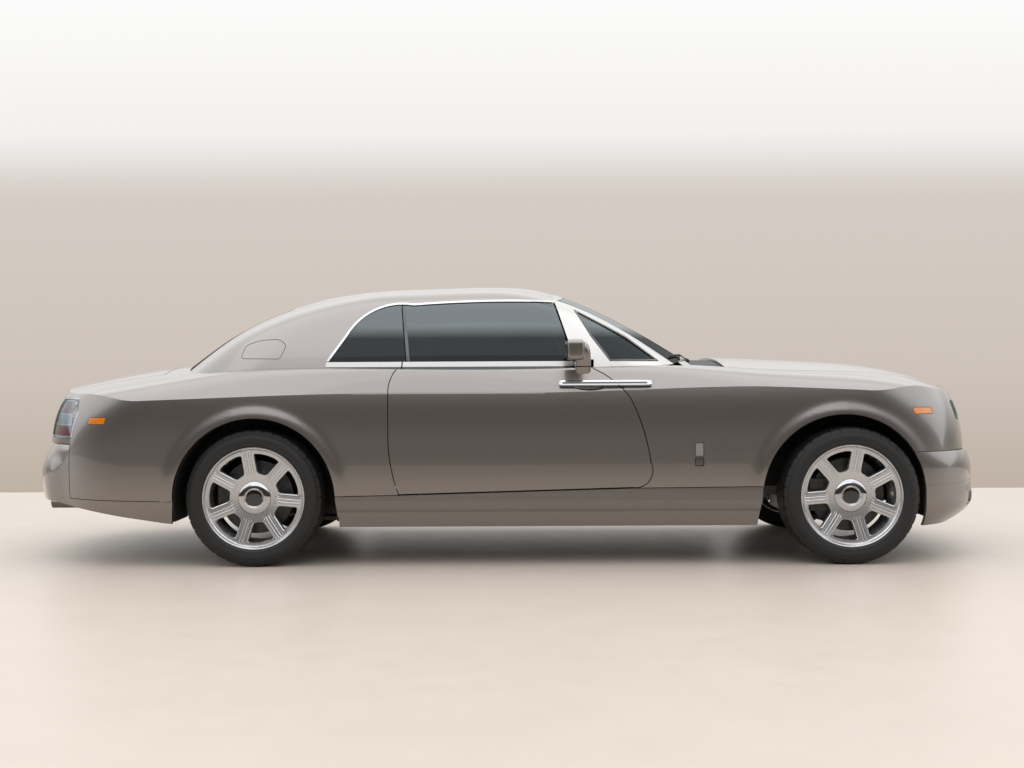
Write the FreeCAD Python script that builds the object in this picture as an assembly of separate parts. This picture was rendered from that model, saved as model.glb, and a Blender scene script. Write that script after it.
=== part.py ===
import FreeCAD, Part
import math
import os

# A large two-door coupe with rear-hinged doors. Millimetres, X to the nose, Y to the car's left, Z up.
# The origin is on the ground, under the middle of the car's length.

# Driving dimensions
wheelbase = 3320.0
overall_length = 5609.0
front_overhang = 885.0
front_track = 1687.0
rear_track = 1671.0
tyre_radius = 382.0
tyre_width = 255.0
rim_radius = 284.0
rim_width = 235.0
panel_gap = 6.0
glass_gap = 8.0
seat_gap = 0.3
panel_wall = 35.0
roof_wall = 38.0
glass_wall = 6.0
body_half_width = 991.0
sill_bottom = 216.0
cabin_half_width = 830.0
roof_height = 1592.0
steer_offset = 60.0

# Places that follow from them
nose_x = overall_length / 2
front_axle = nose_x - front_overhang
rear_axle = front_axle - wheelbase
axle_height = tyre_radius
front_wheel_y = front_track / 2
rear_wheel_y = rear_track / 2
steer_y = front_wheel_y - steer_offset
wide = 2400.0

X = FreeCAD.Vector(1, 0, 0)
Y = FreeCAD.Vector(0, 1, 0)
Z = FreeCAD.Vector(0, 0, 1)


def vec(x, y, z):
    return FreeCAD.Vector(x, y, z)


def arc(start, middle, end):
    return Part.Arc(start, middle, end).toShape()


def line(start, end):
    return Part.LineSegment(start, end).toShape()


def block(x0, x1, y0, y1, z0, z1):
    return Part.makeBox(x1 - x0, y1 - y0, z1 - z0, vec(x0, y0, z0))


def both_sides(shape):
    return Part.makeCompound([shape, mirrored(shape)])


def mirrored(shape):
    return shape.mirror(vec(0, 0, 0), Y)


def solids_of(shape):
    """Keep the solids of a boolean's result, without slivers."""
    kept = [s for s in shape.Solids if s.Volume > 500.0]
    return kept[0] if len(kept) == 1 else Part.makeCompound(kept)


def circles_meet(c1, r1, c2, r2, upper):
    """Meeting point of two circles in a plane; upper picks the one to the left of the way from c1 to c2."""
    dx = c2[0] - c1[0]
    dy = c2[1] - c1[1]
    d = math.hypot(dx, dy)
    along = (r1 * r1 - r2 * r2 + d * d) / (2 * d)
    across = math.sqrt(r1 * r1 - along * along) * (1 if upper else -1)
    return c1[0] + (along * dx - across * dy) / d, c1[1] + (along * dy + across * dx) / d


def on_circle(centre, toward, radius):
    """The point of a circle on the way from its centre through another point."""
    dx = toward[0] - centre[0]
    dy = toward[1] - centre[1]
    d = math.hypot(dx, dy)
    return centre[0] + dx * radius / d, centre[1] + dy * radius / d


def plan_outline(z, front, rear, half_width, form):
    """Closed outline seen from above: bowed ends and sides, with a round corner between each pair."""
    widest, side_r, front_r, front_corner, rear_r, rear_corner = form
    side = (widest, half_width - side_r)
    halves = []
    for end_x, end_r, corner, way in ((front, front_r, front_corner, 1), (rear, rear_r, rear_corner, -1)):
        end = (end_x - way * end_r, 0.0)
        meetings = [circles_meet(side, side_r - corner, end, end_r - corner, upper) for upper in (True, False)]
        c = max(meetings, key=lambda point: way * point[0])
        on_side = on_circle(side, c, side_r)
        on_end = on_circle(end, c, end_r)
        middle = ((on_side[0] + on_end[0]) / 2, (on_side[1] + on_end[1]) / 2)
        halves.append((on_end, on_circle(c, middle, corner), on_side))
    (f_end, f_mid, f_side), (r_end, r_mid, r_side) = halves
    bulge = on_circle(side, ((f_side[0] + r_side[0]) / 2, half_width), side_r)

    def at(point, sign):
        return vec(point[0], sign * point[1], z)

    return Part.Wire([
        arc(at(f_end, -1), vec(front, 0, z), at(f_end, 1)),
        arc(at(f_end, 1), at(f_mid, 1), at(f_side, 1)),
        arc(at(f_side, 1), at(bulge, 1), at(r_side, 1)),
        arc(at(r_side, 1), at(r_mid, 1), at(r_end, 1)),
        arc(at(r_end, 1), vec(rear, 0, z), at(r_end, -1)),
        arc(at(r_end, -1), at(r_mid, -1), at(r_side, -1)),
        arc(at(r_side, -1), at(bulge, -1), at(f_side, -1)),
        arc(at(f_side, -1), at(f_mid, -1), at(f_end, -1)),
    ])


def height_loft(levels, form, inset=0.0):
    """Solid through plan outlines; inset moves its whole wall inwards."""
    return Part.makeLoft([plan_outline(z, front - inset, rear + inset, half - inset, form)
                          for z, front, rear, half in levels], True, False)


def prism(points, y0, y1):
    """Side-view outline of (x, z) points, run across the car from y0 to y1."""
    corners = [vec(x, y0, z) for x, z in points]
    face = Part.Face(Part.makePolygon(corners + corners[:1]))
    return face.extrude(vec(0, y1 - y0, 0))


# Body below the waist: what one sees from above, by height
# columns: height, nose, tail, half width
body_levels = (
    (200.0, nose_x - 74.5, -2700.0, 935.0),
    (400.0, nose_x - 52.5, -2740.0, 984.0),
    (650.0, nose_x - 46.5, -2750.0, body_half_width),
    (955.0, nose_x - 132.5, -2662.0, 974.0),
    (1190.0, nose_x - 304.5, -2430.0, 925.0),
)
# widest place, side bow, nose bow, nose corner, tail bow, tail corner
body_form = (-150.0, 150000.0, 1832.0, 600.0, 1832.0, 600.0)

# Its top, from tail to nose: bonnet, waist and boot deck
# columns: place, centre height, crown radius, crease height, crease half width, lean in degrees, shoulder radius
top_stations = (
    (-2830.0, 968.0, 3500.0, 880.0, 965.0, 32.0, 200.0),
    (-2300.0, 1078.0, 3500.0, 905.0, 970.0, 30.0, 220.0),
    (-1700.0, 1148.0, 4500.0, 925.0, 975.0, 28.0, 160.0),
    (-900.0, 1135.0, 12000.0, 955.0, 974.0, 25.5, 40.0),
    (300.0, 1125.0, 15000.0, 960.0, 974.0, 25.5, 30.0),
    (1100.0, 1160.0, 6000.0, 970.0, 973.0, 27.0, 120.0),
    (1800.0, 1136.0, 4455.0, 959.0, 972.0, 30.0, 230.0),
    (2400.0, 1062.0, 4000.0, 915.0, 968.0, 35.0, 200.0),
    (2780.0, 925.0, 3500.0, 860.0, 960.0, 40.0, 160.0),
)
outer_reach = 1150.0
crease_run = 12.0
low_edge = 120.0


def top_section(station, drop=0.0):
    """Cross-section under the top surface: crown, round shoulder, leaning side and crease."""
    x, centre, crown, crease_z, crease_y, lean, shoulder = station
    centre = centre - drop
    crease_y = crease_y - drop
    a = math.radians(lean)
    hub = (0.0, centre - crown)
    start = (crease_y - shoulder * math.cos(a), crease_z - shoulder * math.sin(a))
    reach = crown - shoulder
    px = start[0] - hub[0]
    pz = start[1] - hub[1]
    b = -math.sin(a) * px + math.cos(a) * pz
    t = -b + math.sqrt(b * b - (px * px + pz * pz - reach * reach))
    c = (start[0] - math.sin(a) * t, start[1] + math.cos(a) * t)
    on_line = (c[0] + shoulder * math.cos(a), c[1] + shoulder * math.sin(a))
    on_crown = on_circle(hub, c, crown)
    between = ((on_line[0] + on_crown[0]) / 2, (on_line[1] + on_crown[1]) / 2)
    bend = on_circle(c, between, shoulder)
    foot = (crease_y + crease_run, crease_z - crease_run / math.tan(a))
    out = (outer_reach, foot[1] - (outer_reach - foot[0]) * 0.8)

    def at(point, sign):
        return vec(x, sign * point[0], point[1])

    low = (outer_reach, low_edge)
    return Part.Wire([
        line(at(low, -1), at(low, 1)), line(at(low, 1), at(out, 1)),
        line(at(out, 1), at(foot, 1)), line(at(foot, 1), at(on_line, 1)),
        arc(at(on_line, 1), at(bend, 1), at(on_crown, 1)),
        arc(at(on_crown, 1), vec(x, 0, centre), at(on_crown, -1)),
        arc(at(on_crown, -1), at(bend, -1), at(on_line, -1)),
        line(at(on_line, -1), at(foot, -1)), line(at(foot, -1), at(out, -1)),
        line(at(out, -1), at(low, -1)),
    ])


def top_loft(drop=0.0):
    return Part.makeLoft([top_section(s, drop) for s in top_stations], True, False)


body_block = height_loft(body_levels, body_form).common(top_loft())
body_hollow = height_loft(body_levels, body_form, panel_wall).common(top_loft(panel_wall))

# Cabin above the waist, by height: windscreen, rear window and leaning sides
# columns: height, windscreen, rear window, half width
cabin_levels = (
    (1040.0, 1272.0, -2030.0, 914.0),
    (1150.0, 1092.0, -1885.0, 870.0),
    (1300.0, 845.0, -1672.0, 800.0),
    (1470.0, 528.0, -1352.0, 704.0),
    (1640.0, 190.0, -900.0, 575.0),
)
cabin_form = (-100.0, 20000.0, 1500.0, 250.0, 1500.0, 330.0)
roof_crown = 3200.0
# side line of the roof: place, height
roof_line = ((-1900.0, 1290.0), (-1092.0, 1539.0), (-332.0, roof_height), (258.0, 1577.0), (760.0, 1440.0))
crown_angle = 21.0


def roof_barrel(drop=0.0):
    """Everything under the roof's surface, turned about a lengthwise axis so that it is crowned."""
    tail, rear, top, front, end = [vec(x, 0, z - drop) for x, z in roof_line]
    low = 900.0
    nose = vec(1400, 0, 1300)
    edges = [arc(tail, rear, top), arc(top, front, end), line(end, nose), line(nose, vec(nose.x, 0, low)),
             line(vec(nose.x, 0, low), vec(-2100, 0, low)), line(vec(-2100, 0, low), vec(-2100, 0, 1290)),
             line(vec(-2100, 0, 1290), tail)]
    face = Part.Face(Part.Wire(edges))
    axis = vec(0, 0, roof_height - roof_crown)
    face.rotate(axis, X, -crown_angle)
    return face.revolve(axis, X, 2 * crown_angle)


cabin_block = height_loft(cabin_levels, cabin_form).common(roof_barrel())
cabin_shell = cabin_block.cut(height_loft(cabin_levels, cabin_form, roof_wall).common(roof_barrel(roof_wall)))
cabin_shell = cabin_shell.cut(body_block)
glass_shell = cabin_block.cut(height_loft(cabin_levels, cabin_form, glass_wall).common(roof_barrel(glass_wall)))
glass_shell = glass_shell.cut(body_block)
body_shell = body_block.cut(body_hollow)


def side_face(start, steps):
    """Side-view outline: each step is one (x, z) point for a line, or a middle and an end for an arc."""
    edges = []
    here = vec(start[0], 0, start[1])
    for step in steps + [(start,)]:
        end = vec(step[-1][0], 0, step[-1][1])
        if len(step) == 2:
            edges.append(arc(here, vec(step[0][0], 0, step[0][1]), end))
        else:
            edges.append(line(here, end))
        here = end
    return Part.Face(Part.Wire(edges))


def side_cutter(start, steps, y0, y1, grow=0.0):
    """The outline run across the car, grown or shrunk by a gap."""
    face = side_face(start, steps)
    if grow:
        face = face.makeOffset2D(grow, 1)
    face.translate(vec(0, y0, 0))
    return face.extrude(vec(0, y1 - y0, 0))


def front_cutter(half_low, low, half_high, high, crown, x0, x1):
    """Front-view opening with a bowed top, run along the car from x0 to x1."""
    edges = [line(vec(x0, -half_low, low), vec(x0, half_low, low)),
             line(vec(x0, half_low, low), vec(x0, half_high, high)),
             arc(vec(x0, half_high, high), vec(x0, 0, high + crown), vec(x0, -half_high, high)),
             line(vec(x0, -half_high, high), vec(x0, -half_low, low))]
    return Part.Face(Part.Wire(edges)).extrude(vec(x1 - x0, 0, 0))


def top_cutter(points, z0, z1):
    """Top-view outline of (x, y) corners, mirrored about the middle, run from z0 to z1."""
    ring = [vec(x, y, z0) for x, y in points] + [vec(x, -y, z0) for x, y in reversed(points)]
    return Part.Face(Part.makePolygon(ring + ring[:1])).extrude(vec(0, 0, z1 - z0))


# Door outline, from the waist at its front down and round to the waist at its rear
door_rear_cut = -650.0
door_front_cut = 802.0
door_start = (490.0, 1200.0)
door_steps = [((490.0, 1095.0),), ((610.0, 1020.0), (694.0, 929.0)), ((762.0, 760.0), (door_front_cut, 575.0)),
              ((790.0, 468.0), (700.0, 437.0)), ((-592.0, 403.0),), ((-634.0, 560.0), (-649.0, 720.0)),
              ((door_rear_cut, 985.0),), ((-632.0, 1057.0), (-587.0, 1118.0)), ((-587.0, 1200.0),)]
door_space = side_cutter(door_start, door_steps, -wide / 2, wide / 2, panel_gap / 2)

# Wheel arches: the lip in the skin, opened towards the ground, and the wheel's room behind it with its liner
skin_y = 930.0
skin_inner_y = 850.0
liner_wall = 12.0
housing_wall = 18.0
liner_low = 250.0
# columns: axle, lip centre offset, lip radius, room centre offset, room radius, inner wall, its lower edge
arches = ((front_axle, -40.0, 460.0, -26.0, 474.0, 495.0, 400.0),
          (rear_axle, 7.0, 451.0, 7.0, 452.0, 640.0, 300.0))
arch_skin = []
arch_deep = []
arch_room = []
liner_room = []
liners = []
for axle, offset, lip, room_offset, room, inner, wall_low in arches:
    centre_z = axle_height - 6
    lip_way = Part.makeCylinder(lip, wide / 2, vec(axle + offset, 0, centre_z), Y)
    foot = prism([(axle + offset - lip, centre_z), (axle + offset + lip, centre_z),
                  (axle + offset + lip + 20, 100.0), (axle + offset - lip - 30, 100.0)], 0, wide / 2)
    lip_way = lip_way.fuse(foot)
    arch_skin.append(both_sides(lip_way.common(block(-3000, 3000, skin_inner_y, wide, 0, 1400))))
    arch_deep.append(both_sides(lip_way.common(block(-3000, 3000, 700.0, wide, 0, 1400))))
    middle = axle + room_offset
    rooms = []
    for radius, low in ((room, 100.0), (room + liner_wall, liner_low)):
        rooms.append(Part.makeCylinder(radius, skin_y - inner, vec(middle, inner, centre_z), Y).fuse(
            block(middle - radius, middle + radius, inner, skin_y, low, centre_z)).common(
                block(-3000, 3000, inner, skin_y, low, 1400)))
    arch_room.append(both_sides(rooms[0]))
    grown_room = Part.makeCylinder(room + liner_wall + seat_gap, skin_y - inner + 60, vec(middle, inner - 60, centre_z), Y)
    liner_room.append(both_sides(grown_room.fuse(
        block(middle - room - liner_wall - seat_gap, middle + room + liner_wall + seat_gap, inner - 60, skin_y, 100,
              centre_z))))
    disc_wall = Part.makeCylinder(room + liner_wall, housing_wall, vec(middle, inner - housing_wall, centre_z), Y)
    disc_wall = disc_wall.common(block(-3000, 3000, 0, wide, wall_low, 1400))
    liners.append(both_sides(rooms[1].cut(rooms[0]).fuse(disc_wall)))

# Panels that open on top: corners from the middle outwards are mirrored
bonnet_rear = 1245.0
bonnet_plan = [(bonnet_rear, 769.0), (1450.0, 769.0), (1700.0, 735.0), (1950.0, 685.0), (2200.0, 612.0),
               (2420.0, 510.0), (2640.0, 385.0)]
boot_front = -1985.0
boot_half = 610.0
boot_plan = [(boot_front, boot_half), (-2850.0, boot_half)]
bumper_top = 622.0
rear_bumper_top = 684.0


def grown(points, by):
    """Top-view corners moved outwards by a gap, at the ends along and at the sides across."""
    xs = [x for x, y in points]
    middle = (max(xs) + min(xs)) / 2
    return [(x + (by if x == max(xs) else -by if x == min(xs) else 0), y + by) for x, y in points]


bonnet_space = top_cutter(grown(bonnet_plan, panel_gap), 880, 1300)
boot_space = top_cutter(grown(boot_plan, panel_gap), rear_bumper_top, 1300)

# Grille opening and lamps in the nose
grille_half = 350.0
grille_low = 626.0
headlamp = (440.0, 800.0, 790.0, 905.0)
grille_space = block(2300, 3000, -grille_half, grille_half, grille_low, 1000)
lamp_space = block(2250, 3000, headlamp[0], headlamp[1], headlamp[2], headlamp[3])
lamp_space = lamp_space.fuse(mirrored(lamp_space))
tail_lamp = (630.0, 900.0, 709.0, 943.0)
tail_space = block(-3000, -2440, tail_lamp[0], tail_lamp[1], tail_lamp[2], tail_lamp[3])
tail_space = tail_space.fuse(mirrored(tail_space))

# Sill: its section, and its side outline under the door
sill_rear = -950.0
sill_front = 1425.0
sill_section = [(cabin_half_width + 5, sill_bottom), (905.0, sill_bottom), (942.0, 300.0), (957.0, 318.0),
                (986.0, 366.0), (984.0, 440.0), (cabin_half_width + 5, 440.0)]
sill_top = [(sill_rear, 391.0), (-592.0, 397.0), (700.0, 431.0), (sill_front, 436.0)]
face = Part.Face(Part.makePolygon([vec(sill_rear, y, z) for y, z in sill_section + sill_section[:1]]))
sill = face.extrude(vec(sill_front - sill_rear, 0, 0))
sill = sill.common(prism([(sill_rear, 0.0)] + sill_top + [(sill_front, 0.0)], 0, wide / 2))
sill_room = prism([(sill_rear - 100, 0.0), (sill_rear - 100, sill_top[0][1] + 4)] + [(x, z + 4) for x, z in sill_top]
                  + [(sill_front + 60, 0.0)], -wide / 2, wide / 2)

parts = {}
parts["sills"] = both_sides(solids_of(sill.cut(arch_skin + liner_room)))

# Front wings, each with its lamp and grille openings
cabin_room = block(-1150, 1000, -cabin_half_width, cabin_half_width, 0, 1300)
cowl_half = 775.0
cowl_rear = 1050.0
cowl_space = block(cowl_rear, bonnet_rear + 60, -cowl_half, cowl_half, 1000, 1300)
left_skin = body_shell.common(block(-3100, 3100, 0, wide, 0, 1300))
wing = left_skin.common(block(480, 3100, 0, wide, 0, 1300))
wing = wing.cut(arch_skin + [door_space, bonnet_space, sill_room, grille_space, lamp_space, cowl_space, cabin_room,
                 block(front_axle, 3100, -wide, wide, 0, bumper_top + 3)])
wing = solids_of(wing)
parts["fender_left"] = wing
parts["fender_right"] = mirrored(wing)

# Rear quarters: thick beside the rear seat, a skin round the wheel and the boot
bumper_side = -2536.0
valance = prism([(-1780.0, 100.0), (-1780.0, 368.0), (bumper_side, 382.0), (bumper_side, rear_bumper_top),
                 (-3100.0, rear_bumper_top), (-3100.0, 100.0)], -wide / 2, wide / 2)
armrest_top = 720.0
armrest_y = 620.0
seat_wall = body_block.common(block(-1150, -500, cabin_half_width, wide, 300, 1300))
deck_front = -1150.0
deck_half = boot_half + panel_gap
armrest = block(-1139, -720, armrest_y, cabin_half_width + 5, 430, armrest_top)
quarter = left_skin.common(block(-3100, -500, 0, wide, 0, 1300)).cut(cabin_room).fuse([seat_wall, armrest])
quarter = quarter.cut(arch_skin + liner_room + [
    door_space, sill_room, boot_space, tail_space, valance,
    block(boot_front - panel_gap, deck_front, 0, deck_half, 1000, 1300)])
parts["quarter_left"] = solids_of(quarter)
parts["quarter_right"] = mirrored(parts["quarter_left"])
deck = body_shell.common(block(boot_front + panel_gap, deck_front, -deck_half, deck_half, 1000, 1300))
parts["rear_deck"] = solids_of(deck)

# Bonnet, boot lid and cowl
lid_skin = 10.0
lid_inset = 15.0


def lid(plan, low, spare):
    """Opening panel: its outer skin fills the outline, and its inner frame is set back to clear as it swings."""
    edge = top_cutter(plan, low, 1300).cut(top_cutter(grown(plan, -lid_inset), low - 50, 1400))
    inside = height_loft(body_levels, body_form, lid_skin).common(body_block.translated(vec(0, 0, -lid_skin)))
    under = edge.common(inside)
    return solids_of(body_shell.common(top_cutter(plan, low, 1300)).cut([under] + spare))


parts["bonnet"] = lid(bonnet_plan, 880, [grille_space])
parts["boot_lid"] = lid(boot_plan, rear_bumper_top + panel_gap, [])
cowl_drop = 14.0
cowl_wall = 12.0
cowl_chunk = body_block.common(block(cowl_rear, bonnet_rear - panel_gap, seat_gap - cowl_half, cowl_half - seat_gap,
                                     1000, 1300))
cowl_piece = cowl_chunk.translated(vec(0, 0, -cowl_drop))
cowl_piece = cowl_piece.cut(cowl_chunk.translated(vec(0, 0, -cowl_drop - cowl_wall)))

# Bumpers: covers flush with the wings at the sides and proud of the nose and tail
# columns: height, nose, tail, half width
bumper_levels = (
    (165.0, nose_x - 190.0, -nose_x + 260.0, 915.0),
    (290.0, nose_x - 12.0, -nose_x + 60.0, 960.0),
    (420.0, nose_x - 1.0, -nose_x + 6.0, 986.0),
    (550.0, nose_x - 4.0, -nose_x + 4.0, 990.0),
    (690.0, nose_x - 70.0, -nose_x + 76.0, 990.0),
)
bumper_wall = 28.0
bumper_shell = height_loft(bumper_levels, body_form).cut(height_loft(bumper_levels, body_form, bumper_wall))
beam_front = 2600.0
beam_rear = -2680.0
bracket_low = 440.0
bracket_high = 500.0
bracket_span = (540.0, 600.0)
bumper_hull = height_loft(bumper_levels, body_form, bumper_wall / 2)


def brackets(x0, x1):
    """Pair of brackets that hold a cover to the beam behind it."""
    bar = block(x0, x1, bracket_span[0], bracket_span[1], bracket_low, bracket_high)
    return both_sides(bar.common(bumper_hull))


front_cover = bumper_shell.common(block(front_axle, 3100, -wide, wide, 168, bumper_top)).cut(arch_deep)
front_cover = front_cover.fuse(brackets(beam_front + seat_gap, 2800))
intake_low = front_cutter(560.0, 235.0, 540.0, 330.0, 20.0, 2300, 3100)
intake_side = block(2300, 3100, 620.0, 800.0, 300.0, 380.0)
tow_y = -380.0
tow_z = 455.0
tow_radius = 9.0
tow_way = block(beam_front + 10, 3100, tow_y - 60, tow_y + 60, tow_z - 48, tow_z + 48)
front_cover = front_cover.cut([intake_low, intake_side, mirrored(intake_side), tow_way])
parts["front_bumper"] = solids_of(front_cover)
rear_slope = prism([(-1700.0, 100.0), (-1700.0, 226.0), (-1886.0, 243.0), (-2553.0, 349.0), (-3100.0, 400.0),
                    (-3100.0, 100.0)], -wide / 2, wide / 2)
valance_piece = prism([(-1784.0, 100.0), (-1784.0, 364.0), (bumper_side - 4, 378.0),
                       (bumper_side - 4, rear_bumper_top - 4), (-3100.0, rear_bumper_top - 4), (-3100.0, 100.0)],
                      -wide / 2, wide / 2)
rear_cover = bumper_shell.common(valance_piece).cut(arch_skin + [liner_room[1], rear_slope])
rear_cover = rear_cover.fuse(brackets(-2800, beam_rear - seat_gap).translated(vec(0, 0, 60)))
parts["rear_bumper"] = solids_of(rear_cover)

# Grille: a frame leaning with the nose, with upright vanes
vane_count = 21
vane_width = 8.0
grille_frame = 26.0
nose_shell = body_block.cut(height_loft(body_levels, body_form, 60.0).common(top_loft(60.0)))
opening = block(2300, 3000, -grille_half + seat_gap, grille_half - seat_gap, grille_low + 2, 998)
vane_pitch = 2 * (grille_half - grille_frame) / (vane_count + 1)
slots = []
for i in range(vane_count + 1):
    y = -grille_half + grille_frame + i * vane_pitch
    slots.append(block(2300, 3000, y, y + vane_pitch - vane_width, grille_low + grille_frame, 965))
parts["grille"] = solids_of(nose_shell.common(opening).cut(bonnet_space).cut(slots))

# Lamps, flush with the wings
parts["headlamps"] = solids_of(body_shell.common(lamp_space).cut(bonnet_space))
parts["tail_lamps"] = solids_of(body_shell.common(tail_space).cut(boot_space))

# Cabin frame: roof with its rear pillars, windscreen surround with the quarterlights
frame_joint = 283.0
glass_front_top = (276.0, 1469.0)
glass_front_low = (383.0, 1138.0)
waist_low = 1090.0
windscreen_space = front_cutter(742.0, 1100.0, 596.0, 1492.0, 42.0, 300, 1500)
rear_window_space = front_cutter(640.0, 1100.0, 520.0, 1450.0, 30.0, -2200, -1250)
window_start = (glass_front_top[0] + glass_gap, glass_front_top[1] + glass_gap)
window_steps = [((-84.0, 1481.0), (-527.0, 1461.0)), ((-790.0, 1404.0), (-896.0, 1283.0)), ((-1001.0, 1128.0),),
                ((-1001.0, 1000.0),), ((glass_front_low[0] + glass_gap, 1000.0),),
                ((glass_front_low[0] + glass_gap, glass_front_low[1]),)]
window_space = side_cutter(window_start, window_steps, -wide / 2, wide / 2)
frame_zone = prism([(frame_joint, 1750.0), (frame_joint, window_start[1]), window_start,
                    (glass_front_low[0] + glass_gap, glass_front_low[1]),
                    (door_start[0] + panel_gap, glass_front_low[1]), (door_start[0] + panel_gap, 1000.0),
                    (1500.0, 1000.0), (1500.0, 1750.0)], -wide / 2, wide / 2)
quarterlight_start = (400.0, 1433.0)
quarterlight_steps = [((489.0, 1277.0),), ((590.0, 1142.0),), ((858.0, 1142.0),), ((688.0, 1276.0),)]
quarterlight = side_cutter(quarterlight_start, quarterlight_steps, -wide / 2, wide / 2)
screen_frame = cabin_shell.common(frame_zone).cut([window_space, windscreen_space, quarterlight])
parts["windscreen_frame"] = solids_of(screen_frame)
parts["windscreen"] = solids_of(glass_shell.common(windscreen_space))
roof_zone = block(-2200, frame_joint, -wide / 2, wide / 2, 1000, 1750)
roof = cabin_shell.common(roof_zone)
flap_start = (-1500.0, 1160.0)
flap_steps = [((-1478.0, 1236.0),), ((-1400.0, 1262.0),), ((-1290.0, 1270.0),), ((-1240.0, 1238.0),),
              ((-1272.0, 1156.0),)]
flap_depth = 20.0
flap_wall = 14.0
flap_room = side_cutter(flap_start, flap_steps, -wide / 2, 0, 3.0).cut(
    height_loft(cabin_levels, cabin_form, flap_depth))
flap_stop = prism([(-1460.0, 1190.0), (-1460.0, 1220.0), (-1430.0, 1220.0), (-1430.0, 1190.0)], -wide / 2, 0)
flap_stop = flap_stop.common(height_loft(cabin_levels, cabin_form, flap_wall + seat_gap)).cut(
    height_loft(cabin_levels, cabin_form, roof_wall))
roof = roof.cut([window_space, rear_window_space, flap_room]).fuse(flap_stop)
parts["roof"] = solids_of(roof)
flap = side_cutter(flap_start, flap_steps, -wide / 2, 0, -3.0).cut(height_loft(cabin_levels, cabin_form, flap_wall))
parts["fuel_flap"] = solids_of(cabin_block.common(flap).cut(body_block))
parts["rear_window"] = solids_of(glass_shell.common(rear_window_space))
door_glass_rear = -590.0
door_glass_rear_low = -553.0
rear_glass_zone = prism([(-1100.0, 1000.0), (-1100.0, 1600.0), (door_glass_rear - panel_gap, 1600.0),
                         (door_glass_rear - panel_gap, 1450.0), (door_glass_rear_low - panel_gap, 1130.0),
                         (-620.0, 1110.0), (-620.0, 1000.0)], -wide / 2, wide / 2)
side_panes = glass_shell.common(window_space).common(rear_glass_zone).cut(door_space)
side_panes = side_panes.fuse(glass_shell.common(quarterlight))
parts["side_glass"] = solids_of(side_panes)
parts["cowl"] = solids_of(cowl_piece.cut([cabin_block, block(900, 1300, -900, 900, 900, 1000)]))

# Doors: the outer panel fills the opening; the inner part is set back so that it clears as it swings
inner_inset = 28.0
door = body_block.common(side_cutter(door_start, door_steps, cabin_half_width, wide / 2, -panel_gap / 2))
rim = side_cutter(door_start, door_steps, 0, wide / 2).cut(
    side_cutter(door_start, door_steps, -1, wide / 2 + 1, -inner_inset))
door = door.cut(rim.common(body_hollow))
door = door.cut(cabin_block.cut(height_loft(cabin_levels, cabin_form, 12.0)).common(window_space))
parts["door_left"] = solids_of(door)
glass_edge = [(glass_front_top[0], glass_front_top[1]), (glass_front_low[0], glass_front_low[1]),
              (glass_front_low[0], 1060.0), (door_glass_rear_low, 1060.0), (door_glass_rear_low, 1130.0),
              (door_glass_rear, 1450.0)]
door_pane_zone = prism(glass_edge + [(door_glass_rear, 1600.0), (glass_front_top[0], 1600.0)], 0, wide / 2)
window_inner = side_cutter(window_start, window_steps, 0, wide / 2, -glass_gap)
full_glass = cabin_block.cut(height_loft(cabin_levels, cabin_form, glass_wall).common(roof_barrel(glass_wall)))
door_pane = full_glass.common(door_pane_zone).common(window_inner)
parts["door_glass_left"] = solids_of(door_pane.cut(parts["door_left"]))
# mirror on its stalk, at the front corner of the door glass
mirror_head = block(335.0, 437.0, 925.0, 1085.0, 1138.0, 1258.0)
mirror_head = mirror_head.makeFillet(30.0, mirror_head.Edges)
stalk = prism([(388.0, 1070.0), (478.0, 1070.0), (468.0, 1165.0), (395.0, 1165.0)], 886.0, 965.0)
mirror = mirror_head.fuse(stalk).cut(parts["door_left"])
parts["mirror_left"] = solids_of(mirror)
# handle: a blade that stands off the door and reaches forward over the wing, on two feet
blade_off = 7.0
blade_wall = 16.0
blade_low = 994.0
blade_high = 1031.0
blade_zone = prism([(299.0, blade_low), (299.0, blade_high), (806.0, blade_high), (812.0, blade_low)], 850, wide / 2)
blade = blade_zone.common(body_block.translated(vec(0, blade_off + blade_wall, 0))).cut(
    body_block.translated(vec(0, blade_off, 0)))
feet = block(325, 365, 850, wide, blade_low + 6, blade_high - 6).fuse(
    block(540, 580, 850, wide, blade_low + 6, blade_high - 6))
feet = feet.common(body_block.translated(vec(0, blade_off + 2, 0))).cut(body_block)
parts["door_handle_left"] = solids_of(blade.fuse(feet))
for piece in ("door", "door_glass", "mirror", "door_handle"):
    parts[piece + "_right"] = mirrored(parts[piece + "_left"])

# Floor with its tunnel between the sills
floor_rear = -1140.0
bulkhead_x = 1075.0
floor_low = 224.0
floor_wall = 20.0
tunnel_half = 150.0
tunnel_top = 410.0
floor_side = cabin_half_width + 5 - seat_gap
floor = block(floor_rear, bulkhead_x, -floor_side, floor_side, floor_low, floor_low + floor_wall)
floor = floor.fuse(block(floor_rear, bulkhead_x, -tunnel_half, tunnel_half, floor_low, tunnel_top))
floor = floor.cut(block(floor_rear, bulkhead_x, -tunnel_half + floor_wall, tunnel_half - floor_wall, 0,
                        tunnel_top - floor_wall))
# corners beside the rear seat left free for the wheels
corner = block(floor_rear - 10, -929.0, 621.0, 900.0, 0, 300)
parts["floor"] = floor.cut(both_sides(corner))

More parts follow.
